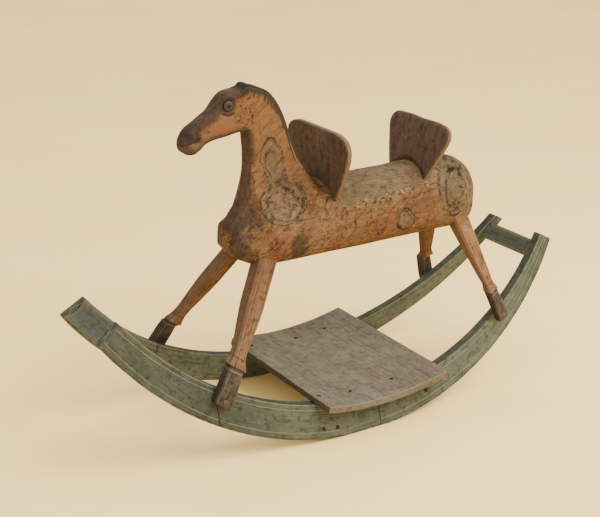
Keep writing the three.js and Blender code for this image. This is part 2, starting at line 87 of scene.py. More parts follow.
def rounded(outline, radius, steps=3):
    """An open or closed run of 2-D points with each corner turned in an arc."""
    result = []
    count = len(outline)
    for i, corner in enumerate(outline):
        here = Vector(corner)
        before = Vector(outline[i - 1]) - here
        after = Vector(outline[(i + 1) % count]) - here
        reach = min(radius, before.length * 0.45, after.length * 0.45)
        start = here + before.normalized() * reach
        stop = here + after.normalized() * reach
        for s in range(steps + 1):
            t = s / steps
            result.append(tuple(start * (1 - t) ** 2 + here * 2 * t * (1 - t) + stop * t ** 2))
    return result


def curve_through(points, step):
    """An even run of points along a smooth curve through the given ones."""
    knots = [Vector(p) for p in points]
    knots = [2 * knots[0] - knots[1], *knots, 2 * knots[-1] - knots[-2]]
    result = []
    for a, b, c, d in zip(knots, knots[1:], knots[2:], knots[3:]):
        count = max(1, round((c - b).length / step))
        for s in range(count):
            t = s / count
            result.append(tuple(0.5 * (
                2 * b + (c - a) * t + (2 * a - 5 * b + 4 * c - d) * t ** 2
                + (3 * b - 3 * c + d - a) * t ** 3)))
    return result + [tuple(knots[-2])]


# ---------------------------------------------------------------- meshes

def add_piece(name, points, faces, values, material, slot, *nodes):
    """A smooth-shaded piece from points in millimetres, with named values at its points."""
    mesh = bpy.data.meshes.new(name)
    mesh.from_pydata([((x + SHIFT_X) * MM, y * MM, z * MM) for x, y, z in points], [], faces)
    for key, column in values.items():
        flat = np.array(column, dtype=float)
        kind, field = ("FLOAT_VECTOR", "vector") if flat.ndim == 2 else ("FLOAT", "value")
        mesh.attributes.new(key, kind, "POINT").data.foreach_set(field, flat.ravel())
    work = bmesh.new()
    work.from_mesh(mesh)
    bmesh.ops.recalc_face_normals(work, faces=work.faces)
    work.to_mesh(mesh)
    work.free()
    mesh.shade_smooth()
    mesh.materials.append(material)
    piece = bpy.data.objects.new(name, mesh)
    bpy.context.scene.collection.objects.link(piece)
    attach(piece, "root")
    if nodes:
        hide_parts(*nodes)
    return piece


def merged(values, extra):
    """Columns of values with more rows added at their ends."""
    return {key: list(column) + list(extra[key]) for key, column in values.items()}


def skin(rings):
    """Faces of a closed skin through rings of equally many points, fanned shut at both ends."""
    count = len(rings[0])
    faces = []
    for r in range(len(rings) - 1):
        for i in range(count):
            a = r * count + i
            b = r * count + (i + 1) % count
            faces.append((a, b, b + count, a + count))
    first = len(rings) * count
    last = (len(rings) - 1) * count
    for i in range(count):
        faces.append((first, (i + 1) % count, i))
        faces.append((first + 1, last + i, last + (i + 1) % count))
    points = [p for ring in rings for p in ring]
    points += [tuple(np.mean(ring, axis=0)) for ring in (rings[0], rings[-1])]
    return points, faces


def soft_ring(corners, radius, step):
    """A closed ring of 3-D points round the corners, each one rounded.

    Gives the points, their distance along the surface from the nearest corner, the side that
    each is on and how far along that side it lies."""
    points, edges, places, travelled = [], [], [], []
    count = len(corners)
    for i in range(count):
        here, after = Vector(corners[i]), Vector(corners[(i + 1) % count])
        before, beyond = Vector(corners[i - 1]), Vector(corners[(i + 2) % count])
        length = (after - here).length
        reach = min(radius, 0.42 * length, 0.42 * (here - before).length)
        onward = min(radius, 0.42 * length, 0.42 * (beyond - after).length)
        along = (after - here).normalized()
        back = (before - here).normalized()
        for t in (0.5, 0.8):
            start = here + back * reach
            stop = here + along * reach
            bend = start * (1 - t) ** 2 + here * 2 * t * (1 - t) + stop * t ** 2
            points.append(tuple(bend))
            edges.append(reach * (t - 0.5))
            places.append(i)
            travelled.append(reach * (t - 0.5))
        for s in range(step[i] + 1):
            run = blend(reach, length - onward, s / step[i])
            points.append(tuple(here + along * run))
            edges.append(min(run, length - run))
            places.append(i)
            travelled.append(run)
        points.append(tuple(
            (after - along * onward) * 0.64 + after * 0.32
            + (after + (beyond - after).normalized() * onward) * 0.04))
        edges.append(onward * 0.3)
        places.append(i)
        travelled.append(length - onward * 0.3)
    return points, edges, places, travelled


def drawn_in(ring, amount):
    """A ring with its points moved towards its middle by amount."""
    centre = Vector(np.mean(ring, axis=0))
    result = []
    for p in ring:
        inward = centre - Vector(p)
        move = inward.normalized() * min(amount, inward.length * 0.9)
        result.append(tuple(Vector(p) + move))
    return result


def turned_points(steps, origin, direction, segments, squeeze=1.0):
    """A round piece along a direction, from [distance, radius] steps; also its radii."""
    axis = Vector(direction).normalized()
    side = axis.cross(Vector((1, 0, 0)) if abs(axis.x) < 0.9 else Vector((0, 1, 0))).normalized()
    up = axis.cross(side)
    rings, radii = [], []
    for along, radius in steps:
        ring = []
        for i in range(segments):
            turn = 2 * math.pi * i / segments
            offset = side * math.cos(turn) * radius * squeeze + up * math.sin(turn) * radius
            ring.append(tuple(Vector(origin) + axis * along + offset))
        rings.append(ring)
        radii += [radius] * segments
    points, faces = skin(rings)
    return points, faces, radii + [0.0, 0.0]


# ---------------------------------------------------------------- node materials

def srgb(red, green, blue):
    """A colour given as it looks, 0 to 255, as linear light."""
    def linear(value):
        value /= 255
        return value / 12.92 if value <= 0.04045 else ((value + 0.055) / 1.055) ** 2.4
    return (linear(red), linear(green), linear(blue), 1.0)


LIGHT_SHARE = (0.34, 0.375, 0.45)  # the lights are strong, so paint is darker than it looks


def pigment(red, green, blue):
    """Linear colour of a paint that looks like the given one under this scene's lights."""
    return tuple(c * share for c, share in zip(srgb(red, green, blue), LIGHT_SHARE)) + (1.0,)


class Coat:
    """One material, with short calls for the nodes that make it."""

    def __init__(self, name, specular=0.1):
        self.material = bpy.data.materials.new(name)
        self.material.use_nodes = True
        self.tree = self.material.node_tree
        self.shader = self.tree.nodes["Principled BSDF"]
        self.shader.inputs["Specular IOR Level"].default_value = specular
        facing = self.tree.nodes.new("ShaderNodeNewGeometry").outputs["Normal"]
        self.face_x, self.face_y, self.face_z = self.split(facing)
        place = self.tree.nodes.new("ShaderNodeTexCoord").outputs["Object"]
        scaled = self.vector("MULTIPLY", place, (1 / MM,) * 3)
        self.place = self.vector("SUBTRACT", scaled, (SHIFT_X, 0, 0))
        self.x, self.y, self.z = self.split(self.place)

    def new(self, kind, **settings):
        node = self.tree.nodes.new("ShaderNode" + kind)
        for key, value in settings.items():
            setattr(node, key, value)
        return node

    def feed(self, node, *values, **named):
        """Sets or links a node's inputs, in order or by name with _ for a space."""
        sockets = list(node.inputs)[:len(values)]
        sockets += [node.inputs[key.replace("_", " ")] for key in named]
        for socket, value in zip(sockets, [*values, *named.values()]):
            if isinstance(value, bpy.types.NodeSocket):
                self.tree.links.new(value, socket)
            else:
                socket.default_value = value

    def vector(self, operation, a, b=(0, 0, 0)):
        node = self.new("VectorMath", operation=operation)
        self.feed(node, a, b)
        return node.outputs["Value" if operation == "LENGTH" else "Vector"]

    def maths(self, operation, a, b=0.0):
        node = self.new("Math", operation=operation)
        self.feed(node, a, b)
        return node.outputs[0]

    def add(self, a, b):
        return self.maths("ADD", a, b)

    def less(self, a, b):
        return self.maths("SUBTRACT", a, b)

    def times(self, first, *others):
        for value in others:
            first = self.maths("MULTIPLY", first, value)
        return first

    def step(self, value, low, high, top=1.0, bottom=0.0):
        """Goes smoothly from bottom to top as value goes from low to high."""
        if low > high:
            low, high, top, bottom = high, low, bottom, top
        node = self.new("MapRange", interpolation_type="SMOOTHSTEP")
        self.feed(node, Value=value, From_Min=low, From_Max=high, To_Min=bottom, To_Max=top)
        return node.outputs["Result"]

    def either(self, a, b):
        return self.maths("MAXIMUM", a, b)

    def band(self, value, centre, half, soft):
        """1 within half of centre, falling off over soft."""
        away = self.maths("ABSOLUTE", self.less(value, centre))
        return self.step(away, half + soft, half - soft)

    def away_from(self, centre, tall=1.0, wide=1.0, place=None):
        """Distance from a centre in the side view, stretched to make an oval."""
        away = self.vector("SUBTRACT", place or self.place, (centre[0], 0, centre[1]))
        return self.vector("LENGTH", self.vector("MULTIPLY", away, (wide, 0.0, tall)))

    def slanted(self, degrees):
        """The position turned in the side view, to lay marks along a slope."""
        node = self.new("VectorRotate", rotation_type="Y_AXIS")
        self.feed(node, Vector=self.place, Angle=math.radians(degrees))
        return node.outputs["Vector"]

    def split(self, value):
        node = self.new("SeparateXYZ")
        self.feed(node, Vector=value)
        return node.outputs

    def lumps(self, where, size, detail=3.0, rough=0.55, shift=(0, 0, 0), warp=0.0):
        """Noise of 0 to 1, with lumps about size across: one number or one along each axis."""
        sizes = size if isinstance(size, tuple) else (size,) * 3
        moved = self.vector("ADD", where, shift)
        spot = self.vector("MULTIPLY", moved, tuple(1 / s for s in sizes))
        node = self.new("TexNoise")
        self.feed(node, Vector=spot, Scale=1.0, Detail=detail, Roughness=rough, Distortion=warp)
        return node.outputs["Fac"]

    def pushed_about(self, size, reach):
        """The position moved by noise, so that lines laid on it waver."""
        node = self.new("TexNoise")
        self.feed(node, Vector=self.vector("MULTIPLY", self.place, (1 / size,) * 3), Scale=1.0)
        drift = self.vector("SUBTRACT", node.outputs["Color"], (0.5, 0.5, 0.5))
        return self.vector("ADD", self.place, self.vector("MULTIPLY", drift, (reach,) * 3))

    def value(self, name, output="Fac"):
        return self.new("Attribute", attribute_name=name).outputs[output]

    def mix(self, share, below, above, blend_type="MIX"):
        node = self.new("Mix", data_type="RGBA", blend_type=blend_type)
        self.feed(node, Factor=share, A=below, B=above)
        return node.outputs["Result"]

    def shade(self, share, colour, factor):
        """Darkens or lightens a colour by factor where share is 1."""
        return self.mix(share, colour, (factor, factor, factor, 1.0), "MULTIPLY")

    def over(self, colour, paint, *shares):
        """A paint over a colour, as strong as the shares multiplied together."""
        above = pigment(*paint) if isinstance(paint, tuple) else paint
        return self.mix(self.times(*shares), colour, above)

    def lay(self, paint, *shares):
        self.colour = self.over(self.colour, paint, *shares)

    def dim(self, factor, *shares):
        self.colour = self.shade(self.times(*shares), self.colour, factor)

    def age(self, grain):
        """Marks that all the old wood shares: broad patches, streaks, hairlines and specks."""
        self.patch = self.lumps(self.place, 62, 4.0, 0.6)
        self.mottle = self.lumps(self.place, 15, 4.0, 0.65, (40, 0, 9))
        self.streak = self.lumps(grain, (90, 6, 6), 3.0, 0.6)
        self.fine = self.lumps(grain, (38, 1.4, 1.4), 2.0, 0.6, (5, 8, 3))
        self.hair = self.lumps(grain, (55, 2.1, 2.1), 1.0, 0.4, (70, 3, 11), 0.4)
        self.pock = self.lumps(self.place, 7, 3.0, 0.7, (61, 17, 35), 0.6)
        self.speck = self.lumps(self.place, 3.2, 2.0, 0.6, (3, 77, 5))
        self.grit = self.less(self.mottle, 0.5)

    def ragged(self, value, reach):
        """A value pushed about, for the worn edges of paint."""
        return self.add(value, self.times(self.grit, reach))

    def weathered(self, base, light, dark, strength=1.0):
        """A paint with the patches, streaks and hairlines of old painted wood."""
        base, light, dark = pigment(*base), pigment(*light), pigment(*dark)
        colour = self.mix(self.step(self.patch, 0.42, 0.60), base, light)
        colour = self.mix(self.step(self.mottle, 0.50, 0.66, 0.7 * strength), colour, dark)
        colour = self.mix(self.step(self.streak, 0.46, 0.34, 0.6 * strength), colour, dark)
        for mark, low, high, share, factor in (
                (self.fine, 0.50, 0.34, 0.7, 0.62), (self.pock, 0.44, 0.31, 0.8, 0.5),
                (self.pock, 0.58, 0.70, 0.7, 1.5), (self.speck, 0.63, 0.71, 0.7, 0.4)):
            colour = self.shade(self.step(mark, low, high, share * strength), colour, factor)
        return self.mix(self.step(self.hair, 0.30, 0.24, 0.75 * strength), colour, dark)

    def finish(self, roughness, relief, depth):
        """Joins up the shader; relief is a height of 0 to 1 and depth what 1 stands for in mm."""
        bump = self.new("Bump")
        self.feed(bump, Height=relief, Distance=depth * MM, Strength=1.0)
        self.feed(self.shader, Base_Color=self.colour, Roughness=roughness,
                  Normal=bump.outputs["Normal"])
        return self.material

    def finish_wood(self, depth, cuts=None, dull=0.85, bright=0.68):
        """A finish with the height of the grain, of the scratches and of any cut grooves."""
        height = self.add(self.times(self.streak, 0.45), self.times(self.fine, 0.35))
        height = self.add(height, self.times(self.mottle, 0.3))
        height = self.less(height, self.step(self.hair, 0.27, 0.22, 0.35))
        if cuts is not None:
            height = self.less(height, self.times(cuts, 0.4))
        return self.finish(self.step(self.mottle, 0.3, 0.7, dull, bright), height, depth)


def ellipse(coat, place, centre, half_sizes, tilt):
    """How far out each spot lies (1 on the line) and at what angle, in the side view."""
    dx, dz = coat.less(place[0], centre[0]), coat.less(place[2], centre[1])
    lean = math.radians(tilt)
    u = coat.add(coat.times(dx, math.cos(lean)), coat.times(dz, math.sin(lean)))
    v = coat.less(coat.times(dz, math.cos(lean)), coat.times(dx, math.sin(lean)))
    u = coat.maths("DIVIDE", u, half_sizes[0])
    v = coat.maths("DIVIDE", v, half_sizes[1])
    out = coat.maths("SQRT", coat.add(coat.times(u, u), coat.times(v, v)))
    return out, coat.maths("ARCTAN2", v, u)


def painted_line(coat, out, half_sizes, width, softness):
    """A line of the given width round an ellipse."""
    size = min(half_sizes)
    return coat.band(coat.times(out, size), size, width / 2, softness)


# ---------------------------------------------------------------- body

RUMP_X, CHEST_X = -408, 284
BODY_HALF = 91
BACK_Z, SPRING_Z, BELLY_Z = 572, 484, 405
BELLY_ROUND, RUMP_ROUND, NOSE_LENGTH = 42, 78, 122
SHOULDER_Z = 640  # the shoulders feather out against the neck up to here
PLANK_HALF = 23

# Front of the plank and the chest, then the head from the throat round to the withers
CHEST_LINE = [
    (222, 405), (250, 412), (271, 425), (283, 441), (287, 460), (279, 496), (263, 520),
    (243, 548), (231, 587), (227, 626), (227, 668),
]
HEAD_LINE = [
    (230, 706), (238, 716), (256, 716), (284, 711), (314, 707), (334, 700), (350, 687),
    (364, 680), (380, 682), (391, 692), (393, 706), (389, 720), (376, 737), (352, 751),
    (334, 762), (319, 771), (303, 790), (282, 807), (256, 812), (241, 816), (234, 822),
    (224, 822), (214, 817), (197, 812), (171, 797), (147, 765), (128, 723), (114, 673),
    (97, 628), (83, 600),
]
MANE_LINE = HEAD_LINE[19:]
FACE_LINE = HEAD_LINE[8:20]
THROAT_LINE = CHEST_LINE[5:] + HEAD_LINE[:1]
JAW_UNDER = HEAD_LINE[1:8]


def height_along(line, x, otherwise):
    for (x0, z0), (x1, z1) in zip(line, line[1:]):
        if (x - x0) * (x - x1) <= 0 and x0 != x1:
            return blend(z0, z1, (x - x0) / (x1 - x0))
    return otherwise


def body_section(x, grow=0.0):
    """Half the log's section at x, from the middle of the belly up to the ridge."""
    rump = max(0.0, RUMP_X + RUMP_ROUND - x) / RUMP_ROUND
    nose = max(0.0, x - CHEST_X + NOSE_LENGTH) / NOSE_LENGTH
    inset = RUMP_ROUND * (1 - math.sqrt(max(0.0, 1 - rump ** 2)))
    narrowing = (BODY_HALF - PLANK_HALF - 6) * (1 - math.sqrt(max(0.0, 1 - nose ** 2)))
    half = BODY_HALF - inset - narrowing + grow
    shoulder = smooth(x, 46, 112)
    chest_top = height_along(CHEST_LINE[4:9], min(x + 6, 287), 1e6)
    ridge = min(BACK_Z + (SHOULDER_Z - BACK_Z) * shoulder, chest_top)
    top = ridge - 0.85 * inset + grow
    belly = height_along(CHEST_LINE[:5], x + 2, BELLY_Z) + 0.32 * inset - grow
    turn = min(BELLY_ROUND, half - 4, 0.4 * (top - belly))
    spring = max(belly + turn + 3, min(SPRING_Z, top - 20))
    neck_half = min(PLANK_HALF - 0.6, half - 2)
    section = [(y, belly) for y in np.linspace(0, half - turn, 6)[:-1]]
    for angle in np.linspace(0, math.pi / 2, 8):
        section.append((half - turn + turn * math.sin(angle), belly + turn * (1 - math.cos(angle))))
    rim = half * math.cos(math.radians(4))
    for share in (0.25, 0.5, 0.75):
        section.append((blend(half, rim, share), blend(belly + turn, spring, share)))
    for degrees in np.linspace(4, 88, 19):
        rise = math.sin(math.radians(degrees))
        barrel = half * math.cos(math.radians(degrees))
        flare = neck_half + (half - neck_half) * (1 - rise ** 1.35) ** 1.8
        section.append((blend(barrel, flare, shoulder), spring + (top - spring) * rise))
    return section + [(0.0, top)]


def hewn(x, y, z, depth):
    """How far the hand-shaped surface stands off its even form."""
    broad = waver(x * 0.6, y, z, 70, 3.0)
    narrow = waver(x * 0.7, y, z, 22, 9.0)
    return depth * (broad + 0.45 * narrow)


def make_body(material):
    stations = [RUMP_X + d - 0.5 for d in (0.5, 1.5, 3, 6, 10, 15, 21, 28, 36, 45, 55, 66)]
    stations += spaced(RUMP_X + 78, 150, 8) + spaced(156, 262, 5.5)
    stations += [266, 269, 272, 275, 277.5, 279.5, 281, 282.3, 283.5]
    rings, grain, seat = [], [], []
    for x in stations:
        section = body_section(x)
        middle_z = (section[0][1] + section[-1][1]) / 2
        ring = []
        for y, z in section + [(-y, z) for y, z in section[-2:0:-1]]:
            out = Vector((0, y, z - middle_z)).normalized()
            off = hewn(x, y, z, 0.9) - 0.9 * smooth(x, 240, 284)
            sunk = 2.0 * smooth(z, 545, 568) * smooth(abs(x + 110), 110, 60)
            ring.append((x, y + out.y * off, z + out.z * off - sunk))
            grain.append((x, math.atan2(y, z - middle_z) * 90, 0.2 * z))
            seat.append(smooth(x, -262, -235) * smooth(x, 34, 12))
        rings.append(ring)
    points, faces = skin(rings)
    values = merged({"grain": grain, "seat": seat},
                    {"grain": [(stations[0], 0, 0), (stations[-1], 0, 0)], "seat": [0, 0]})
    add_piece("body", points, faces, values, material, "body_paint", "body_log")


# ---------------------------------------------------------------- flat pieces with a shaped outline

def distances(spots, outline):
    """Distance of each spot from a closed outline."""
    a = np.array(outline, dtype=float)
    b = np.roll(a, -1, axis=0)
    run = b - a
    length = np.maximum((run ** 2).sum(1), 1e-9)
    best = np.full(len(spots), 1e9)
    spots = np.array(spots, dtype=float)
    for start, step, size in zip(a, run, length):
        share = np.clip(((spots - start) @ step) / size, 0, 1)
        away = np.hypot(*(spots - start - share[:, None] * step).T)
        best = np.minimum(best, away)
    return best


def inside(spots, outline):
    a = np.array(outline, dtype=float)
    b = np.roll(a, -1, axis=0)
    x, y = np.array(spots, dtype=float).T
    hits = np.zeros(len(x), dtype=int)
    for (x0, y0), (x1, y1) in zip(a, b):
        crossing = (y0 > y) != (y1 > y)
        if y0 != y1:
            hits += crossing & (x < (x1 - x0) * (y - y0) / (y1 - y0) + x0)
    return hits % 2 == 1


def plate(outline, swell, spacing, rows, wall_rows=4, coarse=None):
    """A flat piece with a closed outline in (u, v) whose faces stand swell(u, v, edge) off its
    middle plane. Gives points (u, v, w), faces and the distance of each point from the outline."""
    rim = np.array(outline, dtype=float)
    tangent = np.roll(rim, -1, axis=0) - np.roll(rim, 1, axis=0)
    tangent /= np.hypot(*tangent.T)[:, None]
    inward = np.stack([-tangent[:, 1], tangent[:, 0]], axis=1)
    if not inside([rim[0] + inward[0]], outline)[0]:
        inward = -inward
    spots = []
    for row in rows:
        line = rim + inward * row
        keep = (distances(line, outline) > 0.96 * row) & inside(line, outline)
        spots += [tuple(p) for p in line[keep]]
    low, high = rim.min(axis=0), rim.max(axis=0)
    filling = []
    for j, v in enumerate(np.arange(low[1], high[1], spacing * 0.87)):
        for u in np.arange(low[0] + (j % 2) * spacing / 2, high[0], spacing):
            if coarse is None or not coarse(u, v) or (j % 3 == 0 and int(u / spacing) % 3 == 0):
                filling.append((u, v))
    filling = np.array(filling)
    filling = filling[inside(filling, outline)]
    filling = filling[distances(filling, outline) > rows[-1] + spacing * 0.6]
    flat = [Vector(p) for p in outline] + [Vector(p) for p in spots] + [Vector(p) for p in filling]
    border = list(range(len(outline)))
    spots_out, _, triangles, *_ = delaunay_2d_cdt(flat, [], [border], 1, 1e-4)
    edge = distances([tuple(p) for p in spots_out], outline)
    edge[:len(outline)] = 0.0
    count = len(spots_out)
    points, values = [], []
    for side in (1, -1):
        for (u, v), away in zip(spots_out, edge):
            points.append((u, v, side * swell(u, v, away)))
            values.append(float(away))
    faces = [tuple(t) for t in triangles]
    faces += [tuple(count + i for i in reversed(t)) for t in triangles]
    loops = [border]
    for r in range(1, wall_rows):
        loops.append(list(range(len(points), len(points) + len(border))))
        for i in border:
            (u, v, w), (_, _, w2) = points[i], points[count + i]
            points.append((u, v, blend(w, w2, r / wall_rows)))
            nearer = w if r <= wall_rows / 2 else w2
            values.append(-abs(nearer - points[-1][2]))
    loops.append([count + i for i in border])
    for upper, lower in zip(loops, loops[1:]):
        for i in border:
            j = (i + 1) % len(border)
            faces.append((upper[i], upper[j], lower[j], lower[i]))
    return points, faces, values


def rounded_swell(half, radius, edge):
    if edge >= radius:
        return half
    return half - radius + math.sqrt(max(0.0, radius ** 2 - (radius - edge) ** 2))


# ---------------------------------------------------------------- neck and head

EYE = (281, 782)
EYE_RADIUS = 12.5
BIT = (330, 731)
NECK_ROUND, CHEST_ROUND = 9.0, 3.0
MOUTH_LINE = [(394, 705), (376, 707), (362, 711), (350, 717)]
JAW_LINE = [(238, 722), (262, 727), (286, 726), (306, 719)]
BROW_LINE = [(262, 794), (274, 800), (288, 799), (300, 790)]
LID_LINE = [(266, 764), (280, 760), (296, 765)]
LINES = {"mane": MANE_LINE, "face": FACE_LINE, "throat": THROAT_LINE, "jaw": JAW_UNDER,
         "mouth": MOUTH_LINE, "lid": LID_LINE}


def line_distance(line, x, z):
    best = 1e9
    for (x0, z0), (x1, z1) in zip(line, line[1:]):
        size = (x1 - x0) ** 2 + (z1 - z0) ** 2
        share = clamp(((x - x0) * (x1 - x0) + (z - z0) * (z1 - z0)) / size)
        best = min(best, math.hypot(x - blend(x0, x1, share), z - blend(z0, z1, share)))
    return best


def ditch(distance, depth, width):
    return -depth * math.exp(-(distance / width) ** 2)


def head_swell(x, z, edge):
    """Half thickness of the plank with the face carved in it."""
    half = PLANK_HALF * (1 - 0.2 * smooth(x, 285, 393))
    value = rounded_swell(half, blend(CHEST_ROUND, NECK_ROUND, smooth(z, 520, 650)), edge)
    if z < 600:
        return value
    eye = math.hypot(x - EYE[0], z - EYE[1])
    relief = 1.4 * math.exp(-((x - 288) / 26) ** 2 - ((z - 742) / 20) ** 2)
    relief += ditch(eye - EYE_RADIUS - 1, 1.5, 3.0) - 1.0 * smooth(eye, EYE_RADIUS, EYE_RADIUS - 4)
    relief += ditch(line_distance(MOUTH_LINE, x, z), 1.6, 2.0)
    relief += ditch(line_distance(JAW_LINE, x, z), 1.6, 4.0)
    relief += ditch(line_distance(LID_LINE, x, z), 0.9, 1.8)
    relief += 1.0 * math.exp(-(line_distance(BROW_LINE, x, z) / 3.5) ** 2)
    relief += ditch(math.hypot(x - 379, z - 722), 2.4, 4.5)
    relief += 0.6 * waver(x, 0, z, 24, 5.0) + 0.4 * waver(x, 0, z, 8, 2.0)
    return value + relief * smooth(edge, 0, 5)


def make_head(material):
    chest = curve_through(CHEST_LINE, 4)
    head = curve_through(HEAD_LINE, 2.5)
    tongue = [(80, 590)] + [(80, z) for z in spaced(580, BELLY_Z + 6, 20)] + [
        (x, BELLY_Z + 2) for x in spaced(86, 210, 20)]
    outline = chest[:-1] + curve_through([CHEST_LINE[-1], HEAD_LINE[0]], 3)[:-1] + head + tongue
    coarse = lambda u, v: v < 560 and u < 215
    flat, faces, edge = plate(outline, head_swell, 2.6, (0.5, 1.5, 3.2, 5.5, 8.5), 6, coarse)
    points = [(x, y + 0.35 * waver(x, y, z, 30, 7.0), z) for x, z, y in flat]
    values = {"edge": edge}
    for key, line in LINES.items():
        values[key] = [line_distance(line, x, z) for x, z, y in flat]
    add_piece("neck_and_face", points, faces, values, material, "head_paint", "neck_and_head")


def make_eye(side_name, side, material):
    rise = 5.6
    turns = np.linspace(0, math.pi / 2, 10)[:-1]
    dome = [(rise * math.sin(t), EYE_RADIUS * math.cos(t)) for t in turns]
    steps = [(-3, EYE_RADIUS - 0.6), (-0.6, EYE_RADIUS)] + dome + [(rise, 0.6)]
    origin = (EYE[0], side * (PLANK_HALF - 0.6), EYE[1])
    points, faces, radii = turned_points(steps, origin, (0, side, 0), 40)
    points = [(x, y, z + 0.35 * waver(x, y, z, 9, side)) for x, y, z in points]
    add_piece("eye_bead_" + side_name, points, faces, {"radius": radii}, material, "eye_paint",
              "eye_" + side_name)


def peg_steps(length, radius, soft):
    return [(-4, radius), (length - soft, radius), (length - 0.4 * soft, radius - 0.25 * soft),
            (length, radius - soft), (length + 0.3, radius * 0.35)]


def make_bit(material):
    half = PLANK_HALF * 0.95
    ends = peg_steps(half + 1.6, 4.5, 1.0)
    steps = [(-along, radius) for along, radius in reversed(ends[1:])] + ends[1:]
    points, faces, radii = turned_points(steps, (BIT[0], 0, BIT[1]), (0, 1, 0), 24)
    add_piece("bit", points, faces, {"radius": radii}, material, "peg_wood", "bit_peg")


# ---------------------------------------------------------------- saddle boards

BOARD_THICK = 13.0
CANTLE_X, CANTLE_LEAN, PIVOT_Z = -244.0, math.radians(18), 560.0
POMMEL_LINE = [
    (78, 132), (86, 143), (101, 171), (117, 206), (127, 234), (129, 254), (123, 272), (106, 284),
    (80, 290), (50, 291), (22, 291), (0, 291),
]
CANTLE_LINE = [
    (66, 130), (76, 142), (90, 171), (104, 203), (115, 230), (118, 247), (111, 262), (95, 271),
    (72, 274), (46, 275), (22, 274), (0, 273),
]


def make_board(name, line, at_x, lean, material, node):
    """A board that stands across the back, its lower edge cut to the round of the body."""
    half = curve_through([(y, BELLY_Z + h) for y, h in line], 4)
    arch = []
    for y, z in body_section(at_x + BOARD_THICK / 2, -1.2):
        if z > BELLY_Z + line[0][1] - 4:
            arch.append((y, PIVOT_Z + (z - PIVOT_Z) / math.cos(lean)))
    arch = curve_through([half[0]] + arch[1:], 4)
    right = half[:-1] + [(-y, z) for y, z in reversed(half)]
    under = [(-y, z) for y, z in arch[1:-1]] + [(y, z) for y, z in reversed(arch[1:])]
    outline = right + under
    outline = [(y + 0.7 * waver(y, 0, z, 34, lean), z + 0.5 * waver(y, 5, z, 30, lean))
               for y, z in outline]
    flat, faces, edge = plate(
        outline, lambda u, v, e: rounded_swell(BOARD_THICK / 2, 2.6, e) + 0.2 * waver(u, 0, v, 26, 1),
        5.0, (0.35, 1.1, 2.4, 5.5), 4)
    points, grain, height = [], [], []
    for y, z, w in flat:
        h = z - PIVOT_Z
        depth = BOARD_THICK / 2 + w
        points.append((at_x + depth * math.cos(lean) - h * math.sin(lean), y,
                       PIVOT_Z + h * math.cos(lean) + depth * math.sin(lean)))
        grain.append((z, y, depth))
        height.append(line_distance(arch, abs(y), z))
    values = {"edge": edge, "grain": grain, "arch": height}
    add_piece(name, points, faces, values, material, "board_wood", node)


# ---------------------------------------------------------------- rockers

LEAN = math.radians(17.2)
ROCKER_FOOT_Y, ROCKER_THICK = 210.0, 25.0
BOTTOM_RADIUS, BOTTOM_X, FLAT_LENGTH = 757.0, 20.0, 130.0
TOP_RADIUS, TOP_LOW = 742.0, 75.0
FRONT_TIP_X, REAR_TIP_X = 600.0, -590.0
FRONT_CUT, REAR_CUT = (50, -42), (-33, -25)
SEAM_FRONT_X, SEAM_REAR_X = 402.0, -18.0
TIP_ROUND = 7.0
END_ROUND = 1.6  # rounding of a rocker length where it meets the next one
FLAT_SAG = BOTTOM_RADIUS - math.sqrt(BOTTOM_RADIUS ** 2 - (FLAT_LENGTH / 2) ** 2)


def bottom_rise(x):
    rise = BOTTOM_RADIUS - math.sqrt(BOTTOM_RADIUS ** 2 - (x - BOTTOM_X) ** 2)
    return max(0.0, rise - FLAT_SAG)


def top_rise(x):
    return TOP_LOW + TOP_RADIUS - math.sqrt(TOP_RADIUS ** 2 - x ** 2)


def rocker_z(rise):
    return rise * math.cos(LEAN)


def outer_y(z):
    return ROCKER_FOOT_Y - z * math.tan(LEAN)


def inner_y(z):
    return outer_y(z) - ROCKER_THICK / math.cos(LEAN)


def cut_foot(top_x, cut):
    """Where an end cut meets the lower curve."""
    low, high = 0.0, 3.0
    for _ in range(40):
        middle = (low + high) / 2
        if top_rise(top_x) + cut[1] * middle > bottom_rise(top_x + cut[0] * middle):
            low = middle
        else:
            high = middle
    return top_x + cut[0] * low


LENGTHS = {
    "rear": (REAR_TIP_X, SEAM_REAR_X - TOUCH / 2, cut_foot(REAR_TIP_X, REAR_CUT), None),
    "middle": (SEAM_REAR_X + TOUCH / 2, SEAM_FRONT_X - TOUCH / 2, None, None),
    "front": (SEAM_FRONT_X + TOUCH / 2, FRONT_TIP_X, None, cut_foot(FRONT_TIP_X, FRONT_CUT)),
}


def rocker_section(x_top, x_bottom, drop, side):
    z_low = rocker_z(bottom_rise(x_bottom))
    z_high = rocker_z(top_rise(x_top) - drop)
    return [(x_bottom, side * outer_y(z_low), z_low), (x_top, side * outer_y(z_high), z_high),
            (x_top, side * inner_y(z_high), z_high), (x_bottom, side * inner_y(z_low), z_low)]


